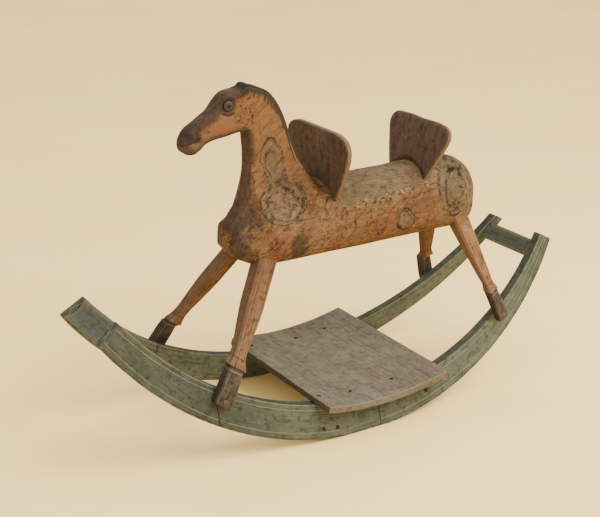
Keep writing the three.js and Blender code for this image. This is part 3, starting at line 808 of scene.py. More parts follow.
def make_rocker(side_name, side, length_name, material):
    x0, x1, foot0, foot1 = LENGTHS[length_name]
    foot0, foot1 = foot0 or x0, foot1 or x1
    span = x1 - x0
    marks = sorted({*spaced(0, span, 6), 0.4, 1.0, 2.2, 4.2, span - 0.4, span - 1.0, span - 2.2,
                    span - 4.2})
    rings = []
    values = {"grain": [], "edge": [], "from_top": [], "from_bottom": [], "outer": [], "end": []}
    for mark in marks:
        share = mark / span
        near_end = min(mark, span - mark)
        at_tip = {"front": mark > span / 2, "rear": mark < span / 2}.get(length_name, False)
        reach = TIP_ROUND if at_tip else END_ROUND
        gone = max(0.0, reach - near_end)
        drop = reach - math.sqrt(max(0.0, reach ** 2 - gone ** 2))
        x = x0 + mark
        corners = rocker_section(x, blend(foot0, foot1, share), drop, side)
        points, edges, places, runs = soft_ring(corners, 2.6, (11, 3, 11, 3))
        height = (Vector(corners[1]) - Vector(corners[0])).length
        if near_end < END_ROUND:
            inset = END_ROUND - math.sqrt(END_ROUND ** 2 - (END_ROUND - near_end) ** 2)
            points = drawn_in(points, inset)
        ring = []
        for point, edge, place, run in zip(points, edges, places, runs):
            px, py, pz = point
            worn = 0.9 * max(0.0, waver(px, py, pz, 11, side)) * smooth(edge, 5, 0)
            bow = 0.35 * waver(px, py, pz, 60, 4.0 * side)
            dy = side * (-worn if place in (0, 1) else worn * 0.5) + bow
            ring.append((px, py + dy, pz + (0.35 * worn if place in (3, 0) and run < 9 else 0.0)))
            outward = {0: height - run, 1: -run, 2: -ROCKER_THICK - run, 3: height + 10}[place]
            values["from_top"].append(outward)
            values["from_bottom"].append(run if place == 0 else -10.0)
            values["outer"].append(1.0 if place == 0 else 0.0)
            values["edge"].append(edge)
            values["end"].append(near_end)
            values["grain"].append((x, run + place * 100, 0.2 * py))
        rings.append(ring)
    points, faces = skin(rings)
    for key in values:
        values[key] += [(0, 0, 0), (0, 0, 0)] if key == "grain" else [0.0, 0.0]
    points = [(x, y, max(z, 0.0)) for x, y, z in points]
    add_piece(f"rocker_{side_name}_{length_name}_board", points, faces, values, material,
              "rocker_paint", f"rocker_{side_name}_{length_name}")


def between_rockers(name, outline, soft, material, node):
    """A board let in between the rockers, from its outline as seen from the side."""
    ends = rounded([Vector(p) for p in outline], soft, 2)
    shares = [-1, -0.994, -0.98, -0.95] + spaced(-0.9, 0.9, 0.05) + [0.95, 0.98, 0.994, 1]
    rings, grain, rim, flank = [], [], [], []
    depth = max(math.dist(outline[0], p) for p in outline)
    for share in shares:
        ring = []
        for x, rise in ends:
            z = rocker_z(rise)
            y = share * (inner_y(z) - TOUCH)
            wobble = 0.4 * waver(x, y, z, 40, 3.0)
            ring.append((x, y, z + wobble))
            across = math.dist(outline[0], (x, rise))
            grain.append((y, across, 0.3 * z))
            rim.append(min(across, abs(depth - across)))
            flank.append((1 - abs(share)) * inner_y(z))
        rings.append(ring)
    points, faces = skin(rings)
    values = {"grain": grain + [(0, 0, 0)] * 2, "rim": rim + [5.0] * 2, "flank": flank + [0.0] * 2}
    return add_piece(name, points, faces, values, material, "rocker_paint", node)


def make_front_crossboard(material):
    thick, scoop_depth, lip = 26.0, 7.0, 9.0
    top = (FRONT_TIP_X, top_rise(FRONT_TIP_X))
    foot_x = cut_foot(FRONT_TIP_X, FRONT_CUT)
    foot = (foot_x, bottom_rise(foot_x))
    depth = math.dist(top, foot)
    down = ((foot[0] - top[0]) / depth, (foot[1] - top[1]) / depth)
    back = (down[1], -down[0])

    def at(u, v):
        return (top[0] + down[0] * u + back[0] * v, top[1] + down[1] * u + back[1] * v)

    scoop = [at(lip + (depth - 2 * lip) * t, scoop_depth * math.sin(math.pi * t) ** 0.8)
             for t in np.linspace(0, 1, 15)]
    outline = [at(3, 0)] + scoop + [at(depth - 3, 0), at(depth - 3, thick), at(3, thick)]
    between_rockers("front_board", outline, 2.0, material, "front_crossboard")


def make_rear_crossbar(material):
    at_x, width, thick, sink = -574.0, 46.0, 18.0, 9.0
    slope = math.asin(-at_x / TOP_RADIUS)
    onward = (math.cos(slope), -math.sin(slope))
    down = (-math.sin(slope), -math.cos(slope))
    start = (at_x, top_rise(at_x))

    def at(u, v):
        return (start[0] + onward[0] * u + down[0] * (v + sink),
                start[1] + onward[1] * u + down[1] * (v + sink))

    outline = [at(u, 0) for u in spaced(0, width, 6)] + [at(width, thick), at(0, thick)]
    between_rockers("rear_bar", outline, 2.0, material, "rear_crossbar")


# ---------------------------------------------------------------- footboard

FOOTBOARD_FRONT_X, FOOTBOARD_REAR_X = 152.0, -195.0
FOOTBOARD_HALF, FOOTBOARD_THICK = 238.0, 16.0
FOOTBOARD_LIFT = TOUCH + 0.4


def footboard_spot(x, lift):
    """A point lift above the upper edges of the rockers."""
    slope = (rocker_z(top_rise(x + 1)) - rocker_z(top_rise(x - 1))) / 2
    size = math.hypot(1, slope)
    return x - slope / size * lift, rocker_z(top_rise(x)) + lift / size


def make_footboard(material):
    stations = [FOOTBOARD_REAR_X + d for d in (0, 0.5, 1.4, 3)]
    stations += spaced(FOOTBOARD_REAR_X + 6, FOOTBOARD_FRONT_X - 6, 6)
    stations += [FOOTBOARD_FRONT_X - d for d in (3, 1.4, 0.5, 0)]
    rings, grain, edge, front = [], [], [], []
    for x in stations:
        near_end = min(x - FOOTBOARD_REAR_X, FOOTBOARD_FRONT_X - x)
        soft = 2.6 - math.sqrt(max(0.0, 2.6 ** 2 - max(0.0, 2.6 - near_end) ** 2))
        halves = []
        for side in (1, -1):
            corner = 26 if side < 0 and x > 0 else 5
            gone = max(0.0, corner - near_end)
            half = FOOTBOARD_HALF - corner + math.sqrt(max(0.0, corner ** 2 - gone ** 2))
            halves.append(half + 1.1 * waver(x, side, 0, 45, 2.0))
        x_low, z_low = footboard_spot(x, FOOTBOARD_LIFT + soft)
        x_high, z_high = footboard_spot(x, FOOTBOARD_LIFT + FOOTBOARD_THICK - soft)
        corners = [(x_low, halves[0], z_low), (x_high, halves[0], z_high),
                   (x_high, -halves[1], z_high), (x_low, -halves[1], z_low)]
        points, edges, _, _ = soft_ring(corners, 2.6, (3, 76, 3, 76))
        ring = []
        for (px, py, pz), near in zip(points, edges):
            away = min(near, near_end)
            top = pz > (z_low + z_high) / 2
            dip = 0.5 * waver(px * 1.5, py * 0.4, 0, 30, 6.0)
            chip = 1.0 * max(0.0, waver(px, py, 0, 9, 1.0)) * smooth(away, 5, 0)
            dx = 0.8 * waver(0, py, 0, 50, 3.0) * (1 if x > 0 else -1) * smooth(near_end, 12, 0)
            ring.append((px + dx, py, pz + (dip - chip if top else 0)))
            grain.append((py, px, pz * 0.6))
            edge.append(away)
            front.append(FOOTBOARD_FRONT_X - x)
        rings.append(ring)
    points, faces = skin(rings)
    values = {"grain": grain + [(0, 0, 0)] * 2, "edge": edge + [6.0] * 2, "front": front + [340, 0]}
    add_piece("footboard_plank", points, faces, values, material, "footboard_wood", "footboard")


# ---------------------------------------------------------------- legs

# Levels from the top down; shank: height, half length, half width; hoof: height, middle, half
# length, thickness. `run` is how far the leg moves in x and y for each millimetre up.
LEGS = {
    "front": {
        "top": (228, 70, 401), "run": (-0.67, -0.461), "tilt": 0.66, "peg": (391, 152),
        "shank": [(440, 25.5, 22.5), (400, 25.5, 23.5), (330, 25, 22.5), (295, 21.5, 19.5),
                  (262, 17.5, 16), (246, 17, 15.6), (234, 20, 17.5), (226, 24, 19.6),
                  (222, 26, 20.5)],
        "hoof": [(218, 354.7, 21.5, 33), (196, 367.8, 24.5, 31), (172, 382.2, 26.5, 27),
                 (150, 395.3, 27, 22.5), (146, 397.7, 25.5, 21)], "right_shift": 0,
    },
    "rear": {
        "top": (-342, 75, 412), "run": (0.31, -0.425), "tilt": -0.45, "peg": (-412, 181),
        "shank": [(440, 25, 24), (405, 24, 23), (340, 19, 18), (290, 15, 15),
                  (270, 13, 13), (262, 13.5, 14), (251, 17, 18)], "right_shift": -14,
        "hoof": [(248, -389, 14, 32), (225, -398, 15.8, 31), (205, -405, 17, 28),
                 (180, -414, 17.5, 24), (176, -415.5, 16.5, 22.5)],
    },
}


CORNER_CUT = 0.16  # bevel along the legs, as a share of their smaller width
LEG_ARRIS = 1.2  # rounding of the edges of the bevels


def cut_corners(back, front, inner, outer):
    """Corners of a rectangle with its four corners cut off."""
    cut = CORNER_CUT * min(front - back, outer - inner)
    return [(front, inner + cut), (front, outer - cut), (front - cut, outer), (back + cut, outer),
            (back, outer - cut), (back, inner + cut), (back + cut, inner), (front - cut, inner)]


def shift_of(spec, side):
    """The legs on the right of the horse may stand further back."""
    return spec["right_shift"] if side < 0 else 0


def rim_lift(spec, dx):
    """How far up a corner sits so that the rims slope."""
    return spec["tilt"] * dx / (1 - spec["tilt"] * spec["run"][0])


def shank_level(spec, z, side, shrink=0.0):
    half_x, half_y = (half - shrink for half in reading(spec["shank"], z))
    top, run, shift = spec["top"], spec["run"], shift_of(spec, side)
    corners = []
    for dx, dy in cut_corners(-half_x, half_x, -half_y, half_y):
        height = z + rim_lift(spec, dx)
        rise = height - top[2]
        y = top[1] + dy + run[1] * rise
        corners.append((top[0] + shift + dx + run[0] * rise, side * y, height))
    return corners


def hoof_level(spec, z, side, shrink=0.0):
    middle, half, thick = reading(spec["hoof"], z)
    half -= shrink
    shift = shift_of(spec, side)
    corners = []
    for dx, dy in cut_corners(-half, half, 0, thick - shrink):
        lift = rim_lift(spec, dx)
        y = outer_y(z + lift) + TOUCH + dy
        corners.append((middle + shift + dx + spec["run"][0] * lift, side * y, z + lift))
    return corners


def make_leg(end_name, side_name, side, material):
    spec = LEGS[end_name]
    rim_z = spec["shank"][-1][0]
    hoof_top, hoof_low = spec["hoof"][0][0], spec["hoof"][-1][0]
    heights = spaced(spec["shank"][0][0], rim_z + 14, 7) + spaced(rim_z + 11, rim_z, 2)
    levels = [(z, shank_level(spec, z, side), 0.0) for z in heights]
    levels += [(rim_z - 0.8, shank_level(spec, rim_z, side, 1.0), 0.0),
               (rim_z - 1.2, shank_level(spec, rim_z, side, 3.5), 1.0)]
    levels += [(z, hoof_level(spec, z, side), 1.0) for z in spaced(hoof_top, hoof_low + 1.5, 4)]
    levels += [(hoof_low, hoof_level(spec, hoof_low, side, 1.6), 1.0)]
    rings, grain, edge, hoof, below = [], [], [], [], []
    for z, corners, in_hoof in levels:
        points, edges, places, _ = soft_ring(corners, LEG_ARRIS, (3, 1, 4, 1, 3, 1, 4, 1))
        centre = np.mean(points, axis=0)
        ring = []
        for (px, py, pz), near, place in zip(points, edges, places):
            out = Vector((px - centre[0], py - centre[1], 0)).normalized()
            off = 0.45 * waver(px, py, pz * 0.5, 14, 3.0 * side) - 0.2
            if in_hoof and place in (5, 6, 7):
                off = 0.0
            ring.append((px + out.x * off, py + out.y * off, pz))
            grain.append((pz, px - centre[0] + 40 * place, py - centre[1]))
            edge.append(near)
            hoof.append(in_hoof)
            below.append(rim_z - z)
        rings.append(ring)
    points, faces = skin(rings)
    values = {"grain": grain, "edge": edge, "hoof": hoof, "below": below}
    tail = {"grain": [(0, 0, 0)] * 2, "edge": [5.0] * 2, "hoof": [0.0, 1.0], "below": [-200.0, 90.0]}
    add_piece(f"leg_{end_name}_{side_name}_post", points, faces, merged(values, tail),
              material, "leg_paint", f"leg_{end_name}_{side_name}")


def make_leg_peg(end_name, side_name, side, material):
    spec = LEGS[end_name]
    x, z = spec["peg"]
    thick = reading(spec["hoof"], z - rim_lift(spec, x - reading(spec["hoof"], z)[0]))[2]
    outward = (0, side * math.cos(LEAN), math.sin(LEAN))
    reach = thick * math.cos(LEAN) + 1.8
    origin = (x + shift_of(spec, side), side * outer_y(z), z)
    points, faces, radii = turned_points(peg_steps(reach, 5.4, 1.4), origin, outward, 22, 0.82)
    points = [(px, py + 0.4 * waver(px, py, pz, 5, 2.0), pz) for px, py, pz in points]
    add_piece(f"peg_{end_name}_{side_name}", points, faces, {"radius": radii}, material, "peg_wood",
              f"leg_peg_{end_name}_{side_name}")


# ---------------------------------------------------------------- nails

FOOTBOARD_NAIL_Y = 169
FOOTBOARD_NAILS = [(1, 137), (1, 47), (1, -76), (-1, 120), (-1, -13), (-1, -103)]
ROCKER_NAILS = [(141, 30), (103, 25), (-160, 50)]


def make_nail(name, head, inward, length, material, node):
    steps = [(-1.9, 1.0), (-1.75, 2.6), (-1.3, 4.0), (-0.7, 4.6), (0.4, 4.4), (0.8, 2.0),
             (length - 5, 1.9), (length, 0.3)]
    points, faces, radii = turned_points(steps, head, inward, 18)
    points = [(x + 0.3 * waver(x, y, z, 3, 8.0), y + 0.3 * waver(z, x, y, 3, 1.0), z)
              for x, y, z in points]
    add_piece(name, points, faces, {"radius": radii}, material, "iron", node)


def make_nails(material):
    lift = FOOTBOARD_LIFT + FOOTBOARD_THICK
    for i, (side, x) in enumerate(FOOTBOARD_NAILS, 1):
        top, foot = footboard_spot(x, lift), footboard_spot(x, 0)
        inward = ((foot[0] - top[0]) / lift, 0, (foot[1] - top[1]) / lift)
        make_nail(f"board_nail_{i}", (top[0], side * FOOTBOARD_NAIL_Y, top[1]), inward, 40, material,
                  f"footboard_nail_{i}")
    for i, (x, z) in enumerate(ROCKER_NAILS, 1):
        make_nail(f"side_nail_{i}", (x, outer_y(z), z), (0, -math.cos(LEAN), -math.sin(LEAN)), 18,
                  material, f"rocker_nail_{i}")


# ---------------------------------------------------------------- coats

RINGS = [  # rings painted on the sides: centre, half sizes, tilt, colour inside, strength
    ((168, 635), (29, 58), -8, (122, 106, 78), 0.45),
    ((160, 548), (57, 45), -10, (164, 118, 86), 0.28),
    ((-318, 512), (50, 66), 8, (136, 112, 80), 0.35),
    ((-160, 462), (29, 25), 35, (170, 124, 82), 0.5),
]
RING_SPACING = 15.0  # between the lines inside the rings
STROKES = [  # brush strokes: centre, half sizes, tilt, from and to in degrees, width. Angles are
    # wrapped to between 0.5 and pi, so each one shows as short stretches and not the whole arc
    ((86, 548), (36, 34), 0, (20, 160), 3.0), ((86, 548), (25, 24), 0, (10, 150), 2.2),
    ((60, 530), (44, 40), 0, (200, 290), 2.6), ((-350, 470), (46, 30), 20, (150, 300), 5.0),
    ((-372, 505), (36, 52), -15, (100, 240), 5.0), ((-318, 512), (24, 40), 8, (60, 250), 4.6),
    ((-340, 530), (30, 20), 30, (190, 380), 4.0), ((-60, 470), (46, 20), 10, (30, 160), 2.0),
    ((104, 452), (16, 36), 12, (-80, 80), 4.0), ((196, 610), (20, 60), -4, (110, 230), 2.2),
    ((172, 700), (26, 34), -24, (60, 200), 2.0), ((168, 575), (24, 12), 0, (180, 350), 4.5),
    ((-160, 462), (27, 23), 35, (90, 250), 8.0),
]
STROKE_FADE = 0.12  # radians over which the ends of a stroke fade
SQUIGGLES = ((26, 0.016), (15, 0.02))  # wandering lines: size and width


def squiggles(coat, size, width):
    """Thin wandering lines that come and go."""
    field = coat.lumps(coat.place, size, 2.0, 0.5, (size, 30, 50), 0.6)
    where = coat.lumps(coat.place, size * 2.6, 2.0, 0.5, (50, 7, size))
    return coat.times(coat.band(field, 0.5, width, width * 0.8), coat.step(where, 0.6, 0.65))


def paint_scrolls(coat):
    """Worn rings, strokes and squiggles on the sides, and a dark patch at the girth."""
    wobble = coat.pushed_about(30, 26)
    spot = coat.split(wobble)
    fade = coat.times(coat.step(coat.mottle, 0.34, 0.52), coat.step(coat.streak, 0.36, 0.48))
    for centre, half_sizes, tilt, inner, strength in RINGS:
        out, angle = ellipse(coat, spot, centre, half_sizes, tilt)
        rounds = coat.times(out, min(half_sizes) * 2 * math.pi / RING_SPACING)
        rounds = coat.maths("SINE", coat.add(rounds, angle))
        coat.lay((118, 104, 76), coat.step(out, 1.02, 0.9, strength))
        coat.lay(inner, coat.step(out, 0.72, 0.56), coat.step(coat.pock, 0.36, 0.52), strength)
        within = coat.step(out, 1.0, 0.94)
        coat.lay((180, 156, 114), coat.step(rounds, -0.3, -0.9), within, fade, 0.3)
        scroll = coat.times(coat.step(rounds, 0.5, 0.95), within, coat.step(out, 0.3, 0.6))
        line = painted_line(coat, out, half_sizes, 4.0, 1.6)
        coat.lay((64, 52, 40), coat.either(scroll, line), fade, 0.8)
    for centre, half_sizes, tilt, (start, stop), width in STROKES:
        out, angle = ellipse(coat, spot, centre, half_sizes, tilt)
        line = painted_line(coat, out, half_sizes, width, 1.0)
        middle, half = math.radians((start + stop) / 2), math.radians((stop - start) / 2)
        off = coat.maths("ABSOLUTE", coat.maths("WRAP", coat.less(angle, middle), math.pi))
        drawn = coat.step(off, half + STROKE_FADE, half - STROKE_FADE)
        coat.lay((56, 44, 32), line, drawn, fade, 0.85)
    girth = coat.away_from((137, 448), 0.45, 0.62, wobble)
    coat.lay((74, 68, 46), coat.step(girth, 18, 11), coat.step(coat.pock, 0.32, 0.46), 0.8)
    for size, width in SQUIGGLES:
        coat.lay((60, 46, 36), squiggles(coat, size, width), coat.step(coat.z, 640, 600), 0.85)


def paint_seat(coat):
    """Bare worn seat, with flaked paint along its edge."""
    line = coat.ragged(coat.add(coat.z, coat.times(coat.add(coat.x, 105), 0.07)), 40)
    on_seat = coat.value("seat")
    worn = coat.weathered((146, 116, 80), (164, 132, 94), (104, 80, 54))
    coat.lay(worn, coat.step(line, 520, 530), on_seat, 0.9)
    rim = coat.times(coat.band(line, 522, 6.0, 5.0), on_seat)
    flakes = coat.lumps(coat.place, (9, 5, 5), 3.0, 0.6, (9, 1, 30))
    coat.lay((206, 180, 134), rim, coat.step(flakes, 0.55, 0.62), 0.8)
    coat.lay((60, 48, 36), rim, coat.step(flakes, 0.44, 0.38), 0.85)


def paint_chest(coat):
    """Painted shade on the front of the chest, on the underside and on the rump."""
    # painted shade: a dark paint laid on the chest faces that look forwards and down the front of the
    # plank
    dark = coat.weathered((108, 84, 68), (128, 100, 80), (66, 50, 40), 0.9)
    soft = coat.step(coat.ragged(coat.face_x, 0.6), 0.36, 0.66)
    core = coat.step(coat.maths("ABSOLUTE", coat.y), 36, 27)
    front = coat.either(coat.times(soft, coat.step(coat.x, 205, 250)),
                        coat.times(core, coat.step(coat.x, 236, 258)))
    coat.lay(dark, front, 0.9)
    # painted shade: darker towards the underside and on the faces that look back
    coat.lay((104, 84, 72), coat.step(coat.z, 430, 410, 0.4))
    coat.lay((104, 80, 56), coat.step(coat.times(coat.face_x, -1.0), 0.35, 0.85, 0.55))


def paint_mane(coat):
    """A dark and a pale line down the back of the neck, and tufts above them."""
    mane, neck = coat.value("mane"), coat.step(coat.z, 600, 624)
    coat.lay((196, 172, 130), coat.band(mane, 5.0, 1.2, 1.0), neck, 0.7)
    coat.lay((58, 46, 36), coat.band(mane, 8.5, 1.4, 1.0), neck, 0.85)
    tufts = coat.lumps(coat.place, (7, 30, 18), 2.0, 0.5, (14, 0, 3), 0.3)
    reach = coat.step(coat.z, 650, 740, 26.0, 12.0)
    hair = coat.step(coat.less(mane, coat.times(tufts, 1.5, reach)), 1.0, -7.0)
    coat.lay((72, 66, 48), hair, coat.step(coat.z, 640, 690), 0.85)
    coat.lay((56, 46, 36), coat.step(mane, 7, 3), coat.step(coat.z, 690, 720), 0.8)


def paint_face(coat, x_drift):
    """Painted shade on the nose, brow, throat and under the jaw; red cheek, mouth and the marks round
    the eye.
    """
    dark = coat.weathered((96, 74, 60), (116, 90, 72), (58, 44, 36), 0.9)
    coat.lay((182, 118, 82), coat.step(coat.away_from((300, 742), 1.3), 60, 20, 0.55))
    coat.lay((140, 112, 76), coat.step(coat.away_from((344, 706), 1.4), 26, 10, 0.6))
    coat.lay((158, 122, 84), coat.step(coat.away_from((372, 698), 1.6), 22, 12, 0.7))
    # painted shade: dark paint along the brow and nose line, on the front of the muzzle, along the
    # throat and under the jaw
    coat.lay(dark, coat.step(coat.ragged(coat.value("face"), 16), 26, 13, 0.95))
    nose = coat.times(coat.step(x_drift, 350, 368), coat.step(coat.ragged(coat.z, 16), 704, 712))
    coat.lay(dark, nose, 0.95)
    coat.lay((70, 56, 46), nose, 0.5)
    nostril = coat.ragged(coat.away_from((377, 722), 0.8), 16)
    coat.lay((44, 36, 32), coat.step(nostril, 11, 5, 0.5))
    coat.lay(dark, coat.step(coat.ragged(coat.value("throat"), 16), 20, 6, 0.85))
    coat.lay(dark, coat.step(coat.ragged(coat.value("jaw"), 16), 17, 6, 0.9))
    paint_mane(coat)
    coat.lay((80, 62, 48), coat.step(coat.away_from(EYE), 26, 14, 0.85))
    coat.lay((58, 42, 34), coat.step(coat.ragged(coat.value("lid"), 4), 3.2, 1.4), 0.8)
    coat.lay((52, 38, 30), coat.step(coat.ragged(coat.value("mouth"), 4), 2.8, 1.0), 0.7)
    pits = coat.step(coat.lumps(coat.place, 6, 1.0, 0.5, (60, 2, 8)), 0.58, 0.64)
    coat.lay((62, 44, 34), pits, coat.step(coat.away_from((236, 768), 0.8), 44, 24), 0.85)


def horse_coat(name, head):
    """Paint of the body, the neck and the face, laid out in one space so that it runs across."""
    coat = Coat(name)
    coat.age(coat.place)
    coat.hair = coat.lumps(coat.place, (34, 2.2, 2.2), 1.0, 0.4, (70, 3, 11), 0.5)
    coat.colour = coat.weathered((160, 110, 66), (178, 132, 84), (92, 64, 42))
    drift = coat.times(coat.less(coat.patch, 0.5), 70)
    x_drift, z_drift = coat.add(coat.x, drift), coat.add(coat.z, drift)
    pale = coat.weathered((164, 126, 82), (182, 146, 100), (98, 76, 52))
    coat.lay(pale, coat.step(x_drift, -215, -300), 0.8)
    red = coat.weathered((164, 104, 68), (178, 122, 82), (96, 66, 48), 0.9)
    coat.lay(red, coat.step(z_drift, 512, 470), coat.step(coat.x, -300, -220),
             coat.step(coat.x, 250, 190), coat.step(coat.mottle, 0.3, 0.6, 0.8))
    blotch = coat.lumps(coat.place, (40, 22, 22), 4.0, 0.65, (31, 5, 12), 0.5)
    coat.lay((120, 104, 72), coat.step(blotch, 0.56, 0.68, 0.6))
    coat.lay((196, 160, 116), coat.step(blotch, 0.40, 0.30, 0.5))
    coat.lay((172, 118, 72), coat.step(z_drift, 560, 640), 0.6)
    paint_scrolls(coat)
    hatch = coat.lumps(coat.slanted(-38), (46, 9, 4), 3.0, 0.6, (11, 2, 7), 0.3)
    coat.dim(0.52, coat.step(hatch, 0.47, 0.35, 0.8))
    coat.dim(1.35, coat.step(hatch, 0.55, 0.66, 0.6))
    if head:
        paint_face(coat, x_drift)
    else:
        paint_seat(coat)
        paint_chest(coat)
    return coat.finish_wood(1.2)


def leg_coat():
    coat = Coat("leg_coat")
    coat.age(coat.value("grain", "Vector"))
    coat.colour = coat.weathered((164, 112, 70), (178, 132, 90), (94, 62, 42), 0.9)
    edge, below = coat.value("edge"), coat.value("below")
    groove = coat.band(edge, 3.6, 0.5, 0.5)
    coat.lay((80, 50, 34), groove, 0.6)
    coat.lay((204, 160, 112), coat.step(edge, 1.6, 0.4), coat.step(coat.mottle, 0.4, 0.6), 0.6)
    coat.lay((70, 46, 34), coat.band(below, -17, 1.0, 0.8), 0.7)
    coat.lay((128, 84, 54), coat.step(below, -150, -178, 0.35))
    # painted shade: faces that look forwards are darkened, on the leg and again on the hoof
    dark = coat.step(coat.ragged(coat.face_x, 0.3), 0.5, 0.75)
    coat.lay((112, 84, 68), dark, 0.55)
    horn = coat.weathered((102, 86, 70), (122, 104, 86), (56, 46, 38), 0.9)
    horn = coat.over(horn, (172, 154, 120), coat.band(below, 6.0, 1.3, 1.0), 0.75)
    horn = coat.over(horn, (160, 140, 108), coat.step(edge, 1.8, 0.4), 0.45)
    horn = coat.over(horn, (52, 40, 32), dark, 0.6)
    coat.lay(horn, coat.step(coat.value("hoof"), 0.45, 0.55))
    above_hoof = coat.step(below, 2, -2)
    # painted light: the near rear leg is lightened above its hoof
    coat.dim(1.4, coat.step(coat.x, -240, -330), coat.step(coat.y, 0, 50), above_hoof)
    return coat.finish_wood(1.0, coat.times(groove, above_hoof))


def board_coat():
    coat = Coat("board_coat", 0.14)
    coat.age(coat.value("grain", "Vector"))
    coat.colour = coat.weathered((112, 84, 68), (122, 94, 78), (64, 48, 40), 0.9)
    coat.lay((132, 88, 66), coat.step(coat.streak, 0.50, 0.62, 0.5))
    coat.lay((138, 96, 70), coat.step(coat.hair, 0.64, 0.72, 0.6))
    arch, edge = coat.band(coat.value("arch"), 9, 4, 4), coat.value("edge")
    coat.lay((142, 88, 58), arch, coat.step(coat.mottle, 0.35, 0.6), 0.45)
    coat.lay((170, 138, 102), coat.step(edge, 0.7, -0.6), 0.75)
    lip = coat.band(edge, 1.4, 0.8, 0.6)
    coat.lay((182, 150, 112), lip, coat.step(coat.mottle, 0.42, 0.55), 0.7)
    return coat.finish_wood(0.8, None, 0.8, 0.6)


def green_coat(name):
    coat = Coat(name)
    coat.age(coat.value("grain", "Vector"))
    coat.colour = coat.weathered((126, 128, 100), (140, 138, 112), (80, 84, 62), 0.8)
    rubbed = coat.times(coat.step(coat.patch, 0.56, 0.70), coat.step(coat.streak, 0.45, 0.60))
    coat.lay((140, 122, 96), rubbed, 0.7)
    return coat


def rocker_coat():
    """Green paint with pale lines along the outer face, rubbed off at the edges, with painted light
    on the inner faces and painted shade on the faces that look upwards.
    """
    coat = green_coat("rocker_coat")
    coat.dim(0.66, coat.step(coat.x, 120, 420))
    coat.dim(1.15, coat.step(coat.x, -100, -420))
    # painted light: the inner faces get a lighter copy of the green paint
    inner_face_light = coat.weathered((142, 144, 116), (158, 158, 130), (92, 96, 72))
    inward = coat.times(coat.face_y, coat.maths("SIGN", coat.y))
    coat.lay(inner_face_light, coat.step(inward, -0.5, -0.8, 0.8))
    coat.dim(0.68, coat.step(coat.x, -450, -570))
    end, outer = coat.value("end"), coat.value("outer")
    # painted shade: faces that look upwards are darkened, away from the very ends
    coat.dim(0.55, coat.step(coat.face_z, 0.5, 0.7), coat.step(end, 2, 8))
    top, foot = coat.value("from_top"), coat.value("from_bottom")
    shadow = coat.either(coat.band(top, 16.4, 0.6, 0.8), coat.band(foot, 19.4, 0.6, 0.8))
    coat.dim(0.6, shadow, outer, 0.5)
    line = coat.either(coat.band(coat.ragged(top, 2.2), 13.5, 1.3, 0.8),
                       coat.band(coat.ragged(foot, 2.2), 16.5, 1.3, 0.8))
    coat.lay((184, 174, 128), line, outer, coat.step(coat.fine, 0.34, 0.52), 0.6)
    coat.lay((178, 166, 126), coat.step(coat.ragged(coat.value("edge"), 6), 1.8, 0.6), 0.75)
    coat.lay((66, 60, 44), coat.step(foot, 6.5, 2.0), outer,
             coat.step(coat.mottle, 0.35, 0.55), 0.6)
    seam = coat.step(end, 1.4, 0.6)
    coat.lay((58, 54, 38), seam, coat.step(coat.maths("ABSOLUTE", coat.x), 520, 500), 0.85)
    return coat.finish_wood(1.0)


def crossboard_coat():
    coat = green_coat("crossboard_coat")
    coat.dim(0.76, coat.step(coat.x, 10, -10))
    rim, flank = coat.value("rim"), coat.value("flank")
    # painted shade: darker in the middle, away from the rims and the rockers, as in the hollow of the
    # front board
    coat.lay((92, 94, 72), coat.step(rim, 8, 18), coat.step(flank, 6, 18), 0.4)
    pale = coat.either(coat.step(rim, 9, 5), coat.step(flank, 10, 4))
    coat.lay((160, 152, 116), pale, coat.step(coat.mottle, 0.36, 0.54), 0.6)
    return coat.finish_wood(1.0)


def footboard_coat():
    coat = Coat("footboard_coat", 0.08)
    grain = coat.value("grain", "Vector")
    coat.age(grain)
    coat.colour = coat.weathered((162, 142, 113), (174, 154, 126), (108, 92, 72), 0.7)
    line = coat.lumps(grain, (170, 2.4, 2.4), 2.0, 0.5, (7, 31, 2), 0.3)
    coat.lay((88, 72, 54), coat.step(line, 0.40, 0.30, 0.7))
    red = coat.lumps(grain, (120, 26, 26), 3.0, 0.6, (90, 12, 0))
    coat.lay((150, 112, 82), coat.step(red, 0.52, 0.72, 0.35))
    cool = coat.lumps(grain, (100, 34, 34), 3.0, 0.6, (20, 80, 0))
    coat.lay((140, 136, 120), coat.step(cool, 0.50, 0.72, 0.4))
    edge = coat.step(coat.value("edge"), 2.6, 0.8)
    coat.lay((190, 168, 126), edge, coat.step(coat.mottle, 0.36, 0.56), 0.7)
    # painted shade: the faces that look forwards are darkened
    coat.lay((66, 50, 38), coat.step(coat.face_x, 0.6, 0.85, 0.72))
    return coat.finish_wood(1.0, coat.step(line, 0.40, 0.30), 0.85, 0.65)


def eye_coat():
    coat = Coat("eye_coat", 0.2)
    blot = coat.lumps(coat.place, 5, 3.0)
    radius = coat.add(coat.value("radius"), coat.times(coat.less(blot, 0.5), 2.0))
    coat.colour = pigment(82, 66, 54)
    coat.lay((34, 28, 24), coat.step(radius, 4.4, 3.6))
    coat.lay((100, 92, 78), coat.band(radius, 8.2, 1.0, 0.9))
    coat.lay((34, 28, 26), coat.step(radius, 10.6, 11.6))
    coat.lay((58, 50, 44), coat.step(blot, 0.60, 0.70, 0.4))
    return coat.finish(coat.step(blot, 0.3, 0.7, 0.7, 0.5), blot, 0.3)


def peg_coat():
    coat = Coat("peg_coat")
    rings = coat.lumps(coat.place, 2.4, 3.0)
    coat.colour = pigment(92, 72, 54)
    coat.lay((132, 108, 82), coat.step(rings, 0.35, 0.65))
    coat.lay((168, 148, 116), coat.band(coat.value("radius"), 3.9, 0.5, 0.5))
    return coat.finish(coat.step(rings, 0.3, 0.7, 0.7, 0.5), rings, 0.5)


